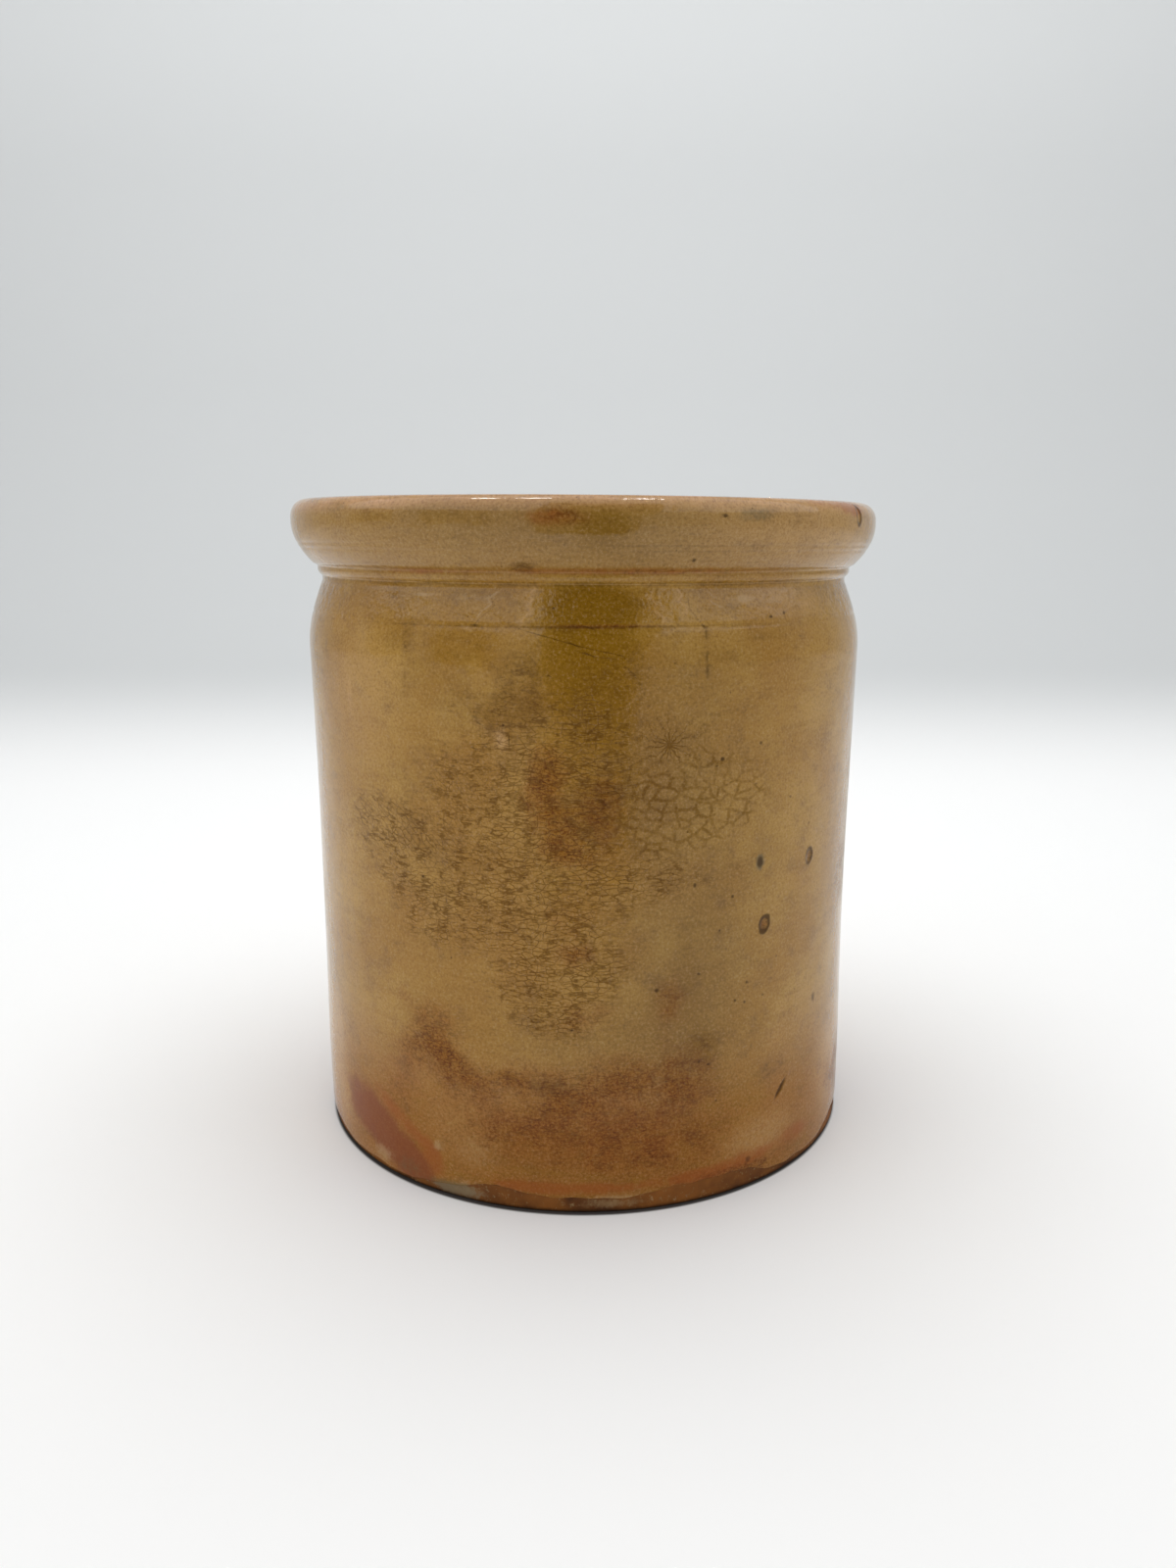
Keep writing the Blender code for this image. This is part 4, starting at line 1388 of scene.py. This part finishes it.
@dataclass
class OuterGlaze:
    """The glaze over the outside: a skin that ends in a ragged, rolled edge above the foot."""

    form: JarForm
    weathering: Weathering
    finish: HoneyLeadGlaze
    thickness: float = 0.00028
    edge_height: float = 0.0036
    edge_roll: float = 0.0009
    edge_wave: float = 0.0020
    wave_reach: float = 0.022
    wall_rows: int = 112
    lobes: tuple = ((2, 0.34, 0.87), (5, 0.26, 0.08), (11, 0.22, 0.31), (23, 0.12, 0.62), (57, 0.06, 0.2))
    ragged_lobes: int = 2
    lowest: float = 0.0013
    front_edge_mm: tuple = (
        (-78, 1.6), (-64, 1.4), (-48, 1.3), (-36, 2.8), (-25, 5.5), (-15, 4.7), (-6, 4.0), (3, 3.7),
        (12, 4.0), (22, 5.0), (32, 5.6), (44, 4.7), (51, 2.7), (58, 1.4), (68, 1.6), (80, 1.8),
    )
    front_reach_mm: float = 90.0
    front_blend_mm: float = 12.0

    def outline(self) -> list[Point]:
        """Returns the closed outline: up the face to the crest, and back down behind it."""
        face = self.form.outside(self.edge_height, self.wall_rows)
        radius, foot = face[0]
        rolled = [(radius, foot + self.edge_roll * share) for share in (0, 0.06, 0.2, 0.45, 0.8)]
        face = rolled + [point for point in face[1:] if point[1] > self.edge_height + self.edge_roll]
        depths = []
        for _, height in face:
            rise = min((height - self.edge_height) / self.edge_roll, 1)
            depths.append(self.thickness * (1 - math.sqrt(max(1 - (1 - rise) ** 2, 0))))
        behind = thinned(sunk(face, self.thickness), 5)
        return sunk(face, depths) + behind[::-1][:-1]

    def dip(self, mesh: bpy.types.Mesh) -> None:
        """Draws the lower edge up and down in lobes, as the dip left it."""
        coordinates = coordinates_of(mesh)
        turn = np.arctan2(coordinates[:, 1], coordinates[:, 0]) / TAU
        waves = [share * np.cos(TAU * count * (turn - peak)) for count, share, peak in self.lobes]
        wave, ragged = sum(waves), sum(waves[-self.ragged_lobes:])
        fade = np.clip(1 - (coordinates[:, 2] - self.edge_height) / self.wave_reach, 0, 1)
        along, _ = places(coordinates, self.form)
        known, heights = zip(*self.front_edge_mm)
        front = np.interp(along, known, heights) * MM - self.edge_height + self.edge_wave * ragged
        near = np.clip((self.front_reach_mm - np.abs(along)) / self.front_blend_mm, 0, 1)
        shift = self.edge_wave * wave + near * (front - self.edge_wave * wave)
        shift = np.maximum(shift, self.lowest - self.edge_height)
        coordinates[:, 2] += shift * fade * fade * (3 - 2 * fade)
        move_to(mesh, coordinates)

    def build(self) -> bpy.types.Object:
        """Builds the piece."""
        wheel = TurningTree(self.form)
        mesh = wheel.turned("honey_outer_glaze", self.outline(), self.finish.material(), True)
        self.dip(mesh)
        self.weathering.refine(mesh)
        self.weathering.paint(mesh)
        return placed_piece(mesh, "outer_glaze")


@dataclass
class InnerGlaze:
    """The lining: from the crest, where it meets the outer glaze, to the middle of the floor."""

    form: JarForm
    finish: LiningGlaze
    thickness: float = 0.00028
    meeting_gap: float = 0.00002
    wall_rows: int = 70

    def build(self) -> bpy.types.Object:
        """Builds the piece."""
        crest = (self.form.crest_radius - self.meeting_gap, self.form.height)
        face = [crest] + self.form.inside(self.wall_rows)
        behind = thinned(sunk(face, self.thickness), 4)
        wheel = TurningTree(self.form, segments=240, ring_depth=0.00016)
        mesh = wheel.turned("honey_inner_glaze", face[::-1] + behind, self.finish.material())
        return placed_piece(mesh, "inner_glaze")


@dataclass
class SlipCoat:
    """The cream slip between clay and glaze, over the lip and down both sides of the wall."""

    form: JarForm
    finish: CreamSlip
    depth: float = 0.0006
    thickness: float = 0.0003
    edge_height: float = 0.016

    def build(self) -> bpy.types.Object:
        """Builds the piece."""
        skin = thinned(self.form.outside(self.edge_height, 40) + self.form.inside(24), 2)
        face = sunk(skin, self.depth)
        behind = sunk(skin, self.depth + self.thickness)
        wheel = TurningTree(self.form, segments=120)
        mesh = wheel.turned("cream_slip_coat", face[::-1] + behind, self.finish.material())
        return placed_piece(mesh, "slip_coat")


@dataclass
class ClayJar:
    """The thrown red clay: it shows as the bare foot below the glaze and as the base."""

    form: JarForm
    weathering: Weathering
    finish: RedEarthenware
    bare_depth: float = 0.00033
    coated_depth: float = 0.0012
    bare_top: float = 0.0095
    coated_from: float = 0.0145
    foot_round: float = 0.0006
    wire_depth: float = 0.00022
    wire_spacing: float = 0.0034
    wire_start: tuple = (0.5, -1.1)
    wire_sway: float = 0.8
    wire_sway_size: float = 0.011
    plain_rim: float = 0.90
    plain_rim_width: float = 0.004

    def outline(self) -> list[Point]:
        """Returns the outline from the middle of the base, up the outside and down the inside."""
        skin = self.form.outside(self.foot_round, 90)
        depths = []
        for _, height in skin:
            share = min(max((height - self.bare_top) / (self.coated_from - self.bare_top), 0), 1)
            depths.append(self.bare_depth + (self.coated_depth - self.bare_depth) * share)
        skin += self.form.inside(20)
        depths += [self.coated_depth] * (len(skin) - len(depths))
        wall = sunk(skin, depths)
        corner = wall[0][0] - self.foot_round
        base = [(corner * share, 0.0) for share in np.linspace(0, 1, 40)]
        rounding = []
        for angle in TAU / 4 * np.linspace(0.12, 0.92, 7):
            rounding.append(
                (corner + self.foot_round * math.sin(angle), self.foot_round * (1 - math.cos(angle)))
            )
        return base + rounding + thinned(wall[1:], 2)

    def cut_by_wire(self, mesh: bpy.types.Mesh) -> None:
        """Presses the shell-shaped ridges of the cutting wire into the base, but not into its rim."""
        coordinates = coordinates_of(mesh)
        across, deep, high = coordinates.T
        under = high < 0.05 * MM
        right, back = (share * self.form.body_radius for share in self.wire_start)
        away = np.hypot(across - right, deep - back)
        sway = self.wire_sway * np.sin(across / self.wire_sway_size)
        ridge = 0.5 + 0.5 * np.sin(TAU * away / self.wire_spacing + sway)
        rim = np.hypot(across, deep) - self.plain_rim * self.form.body_radius
        rim = np.clip(rim / self.plain_rim_width, 0, 1)
        coordinates[under, 2] += (self.wire_depth * ridge * (1 - rim))[under]
        move_to(mesh, coordinates)

    def build(self) -> bpy.types.Object:
        """Builds the piece."""
        wheel = TurningTree(self.form, segments=240)
        mesh = wheel.turned("red_clay_jar", self.outline(), self.finish.material())
        self.cut_by_wire(mesh)
        self.weathering.paint(mesh)
        return placed_piece(mesh, "clay_body")


@dataclass
class Studio:
    """A white light box: pale floor and sweep, bright sides and a dark opening in front.

    The floor in front and the box's sides are also what the glaze mirrors, so the floor is laid
    in pieces, and the world shows the box's panels, gaps and opening to reflections alone.
    """

    table_front: float = 0.94
    opening_start: float = 0.07
    near_front: float = 0.36
    sweep_start: float = 0.36
    sweep_radius: float = 0.50
    wall_top: float = 1.6
    outer_reach: float = 4.0
    camera_distance: float = 0.3328
    camera_height: float = 0.1611
    camera_pitch_degrees: float = 11.91
    camera_yaw: float = -0.0033
    sensor: float = 36.0
    focal_pixels: float = 1202.0
    frame_pixels: float = 1600.0
    opening_left_degrees: float = 18.0
    opening_right_degrees: float = 20.0
    opening_slant: float = 0.45
    panel_foot_degrees: float = 22.0
    bulbs: tuple = ((-0.32, 0.21), (-0.144, 0.21), (0.198, 0.21))
    bulb_half_size: float = 0.05
    bulb_strength: float = 32.0
    ambient: float = 0.50
    ambient_left: float = 1.9
    ambient_right: float = 1.3
    ambient_top_degrees: float = 24.0
    ambient_shown: float = 0.72
    lamp_place: tuple = (0, 0.12, 1.1)
    lamp_size: tuple = (1.2, 0.9)
    lamp_watts: float = 8.4
    paper_near: str = "F8F8F7"
    # Painted shade of the sweep where it rises, and of its top
    sweep_painted_shade: str = "C9CBCB"
    top_painted_shade: str = "D1D3D3"
    # Painted contact shadow round the pot's foot: its colour, strength and ring
    painted_contact_shadow: str = "1E1004"
    contact_shadow_strength: float = 0.94
    shadow_inside: float = 0.0735
    shadow_outside: float = 0.0744
    shadow_forward: float = 0.0013

    def camera(self) -> None:
        """Adds the camera at the photograph's viewing angle."""
        data = bpy.data.cameras.new("camera")
        data.sensor_width = self.sensor
        data.lens = self.sensor * self.focal_pixels / self.frame_pixels
        camera = bpy.data.objects.new("camera", data)
        camera.location = (0, -self.camera_distance, self.camera_height)
        camera.rotation_euler = (math.radians(90 - self.camera_pitch_degrees), 0, self.camera_yaw)
        bpy.context.scene.collection.objects.link(camera)
        bpy.context.scene.camera = camera

    def paper(self) -> bpy.types.Material:
        """Builds the white paper of floor and sweep, painted greyer where it rises, with a painted contact
        shadow round the foot.
        """
        material, add, shader = new_material("white_background_paper")
        place = add("TexCoord", output="Object")
        high = add("SeparateXYZ", (place,), "Z")
        # Painted shade: the paper turns grey where the sweep rises, a little lighter higher up
        low = add(STEP, (high, -0.012, 0.062))
        grey = add("Mix:RGBA", {0: low, 6: linear(self.paper_near), 7: linear(self.sweep_painted_shade)}, 2)
        top = add("MapRange", (high, 0.3, 0.6))
        colour = add("Mix:RGBA", {0: top, 6: grey, 7: linear(self.top_painted_shade)}, 2)
        # Painted contact shadow: a dark ring on the paper round the foot, a little forward of the axis
        away = add("VectorMath:ADD", (place, (0.0, self.shadow_forward, 0.0)))
        away = add("VectorMath:LENGTH", (away,), "Value")
        away = add(STEP, (away, self.shadow_inside, self.shadow_outside, self.contact_shadow_strength, 0.0))
        colour = add("Mix:RGBA", {0: away, 6: colour, 7: linear(self.painted_contact_shadow)}, 2)
        plug(shader, {"Base Color": colour, "Roughness": 0.9, "Specular IOR Level": 0.1})
        return material

    def sheet(
        self, name: str, rings: list[list[tuple]], paper: bpy.types.Material, mirrored: bool = True
    ) -> None:
        """Adds a sheet of paper to the stage.

        Args:
            name: the sheet's name.
            rings: rows of points, each row as long as the others.
            paper: its material.
            mirrored: whether the glaze mirrors it.
        """
        width = len(rings[0])
        starts = [row * width + column for row in range(len(rings) - 1) for column in range(width - 1)]
        faces = [(start, start + 1, start + width + 1, start + width) for start in starts]
        mesh = bpy.data.meshes.new(name)
        mesh.from_pydata([point for ring in rings for point in ring], [], faces)
        mesh.materials.append(paper)
        mesh.shade_smooth()
        sheet = bpy.data.objects.new(name, mesh)
        bpy.context.scene.collection.objects.link(sheet)
        sheet.visible_glossy = mirrored

    def floor(self) -> None:
        """Lays the floor, its sweep, and the parts in front that close the box."""
        paper = self.paper()
        side = self.outer_reach
        rows = [(-self.near_front, 0.0)]
        for angle in TAU / 4 * np.linspace(0, 1, 33):
            depth = self.sweep_start + self.sweep_radius * math.sin(angle)
            rows.append((depth, self.sweep_radius * (1 - math.cos(angle))))
        rows.append((self.sweep_start + self.sweep_radius, self.wall_top))
        self.sheet("floor_and_sweep", [[(-side, y, z), (side, y, z)] for y, z in rows], paper)
        spread = math.tan(math.radians(self.opening_right_degrees))
        near, far = -self.near_front, -self.table_front
        inner = (self.near_front - self.opening_start) * spread
        outer = (self.table_front - self.opening_start) * spread
        for name, turn in (("floor_left", -1), ("floor_right", 1)):
            rows = [
                [(turn * side, far, 0), (turn * outer, far, 0)],
                [(turn * side, near, 0), (turn * inner, near, 0)],
            ]
            self.sheet(name, rows, paper)
        rows = [[(-outer, far, 0), (outer, far, 0)], [(-inner, near, 0), (inner, near, 0)]]
        self.sheet("floor_middle", rows, paper, False)
        rows = [[(-side, -side, 0), (side, -side, 0)], [(-side, far, 0), (side, far, 0)]]
        self.sheet("floor_front", rows, paper, False)

    def band(self, add, angle, low: float, high: float, soft: float = 3.0):
        """Returns 1 between two angles in degrees and 0 outside them, with soft edges."""
        rise = add(STEP, (angle, math.radians(low - soft), math.radians(low + soft)))
        fall = add(STEP, (angle, math.radians(high - soft), math.radians(high + soft), 1.0, 0.0))
        return add(TIMES, (rise, fall))

    def surroundings(self) -> None:
        """Sets the world: even light for surfaces, and the box's sides and opening for gloss."""
        world = bpy.data.worlds.new("light_box")
        bpy.context.scene.world = world
        world.use_nodes = True
        tree = world.node_tree
        add = partial(add_node, tree)
        way = add("TexCoord", output="Generated")
        right = add("SeparateXYZ", (way,), "X")
        back, high = right.node.outputs["Y"], right.node.outputs["Z"]
        front = add(TIMES, (back, -1.0))
        aside = add("Math:ARCTAN2", (right, front))
        rise = add("Math:ARCSINE", (high,))
        above = add("Math:MAXIMUM", (rise, 0.0))
        slanted = add("Math:MULTIPLY_ADD", (above, -self.opening_slant, aside))
        left = self.band(add, aside, -200, -self.opening_left_degrees, 1.0)
        slanted = self.band(add, slanted, self.opening_right_degrees, 200, 1.5)
        sides = add("Math:ADD", (left, slanted))
        top = self.band(add, rise, 62, 200, 4.0)
        panel = self.band(add, rise, self.panel_foot_degrees, 200, 1.5)
        dim = add("MapRange", {0: left, 3: 0.45, 4: 0.62})
        for start, end in ((-62, -36), (-98, -74)):
            gap = self.band(add, aside, start, end)
            dim = add("Math:MULTIPLY_ADD", (gap, -0.45, dim))
        far = self.band(add, aside, -100, 95, 12.0)
        dim = add("Mix:FLOAT", {0: far, 2: 0.6, 3: dim})
        level = add("Mix:FLOAT", {0: panel, 2: dim, 3: 1.4})
        seen = add(TIMES, (sides, level))
        seen = add("Math:MAXIMUM", (seen, top))
        across = add("Math:DIVIDE", (right, high))
        deep = add("Math:DIVIDE", (back, high))
        for bulb in self.bulbs:
            glow = add(TIMES, (top, self.bulb_strength))
            for side, middle in zip((across, deep), bulb):
                off = add("Math:SUBTRACT", (side, middle))
                off = add("Math:ABSOLUTE", (off,))
                inside = add(STEP, (off, 0.7 * self.bulb_half_size, self.bulb_half_size, 1.0, 0.0))
                glow = add(TIMES, (glow, inside))
            seen = add("Math:ADD", (seen, glow))

        # Light on surfaces: even from above, and strong and low from the two sides of the box
        lit = add(TIMES, (self.band(add, aside, -135, -44, 20.0), self.ambient_left))
        lit = add("Math:MULTIPLY_ADD", (self.band(add, aside, 50, 135, 20.0), self.ambient_right, lit))
        low = self.band(add, rise, -200, self.ambient_top_degrees, 9.0)
        lit = add("Math:MULTIPLY_ADD", (lit, low, self.ambient))
        path = add("LightPath").node.outputs
        strength = add("Mix:FLOAT", {0: path["Is Camera Ray"], 2: lit, 3: self.ambient_shown})
        strength = add("Mix:FLOAT", {0: path["Is Glossy Ray"], 2: strength, 3: seen})
        plug(tree.nodes["Background"], {"Strength": strength, "Color": linear("FCFDFF")})

    def lamp(self) -> None:
        """Adds the box's soft top light, which the glaze doesn't mirror."""
        data = bpy.data.lights.new("soft_top", "AREA")
        data.shape = "RECTANGLE"
        data.size, data.size_y = self.lamp_size
        data.energy = self.lamp_watts
        lamp = bpy.data.objects.new("soft_top", data)
        lamp.location = self.lamp_place
        lamp.visible_glossy = False
        bpy.context.scene.collection.objects.link(lamp)

    def build(self) -> None:
        """Builds the studio."""
        self.camera()
        self.floor()
        self.surroundings()
        self.lamp()
        bpy.context.scene.view_settings.view_transform = "Standard"


def main() -> None:
    """Dresses the pot, layer by layer, and lights it."""
    logging.basicConfig(level=logging.INFO, format="%(name)s: %(message)s")
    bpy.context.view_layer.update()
    form = JarForm()
    patches = front_side() + far_side(FAR_SIDE_SEED, form)
    weathering = Weathering(patches, scars(), small_marks(), long_cracks_and_glints(), form)
    Studio().build()
    ClayJar(form, weathering, RedEarthenware()).build()
    SlipCoat(form, CreamSlip()).build()
    OuterGlaze(form, weathering, HoneyLeadGlaze()).build()
    InnerGlaze(form, LiningGlaze()).build()


if __name__ == "__main__":
    main()
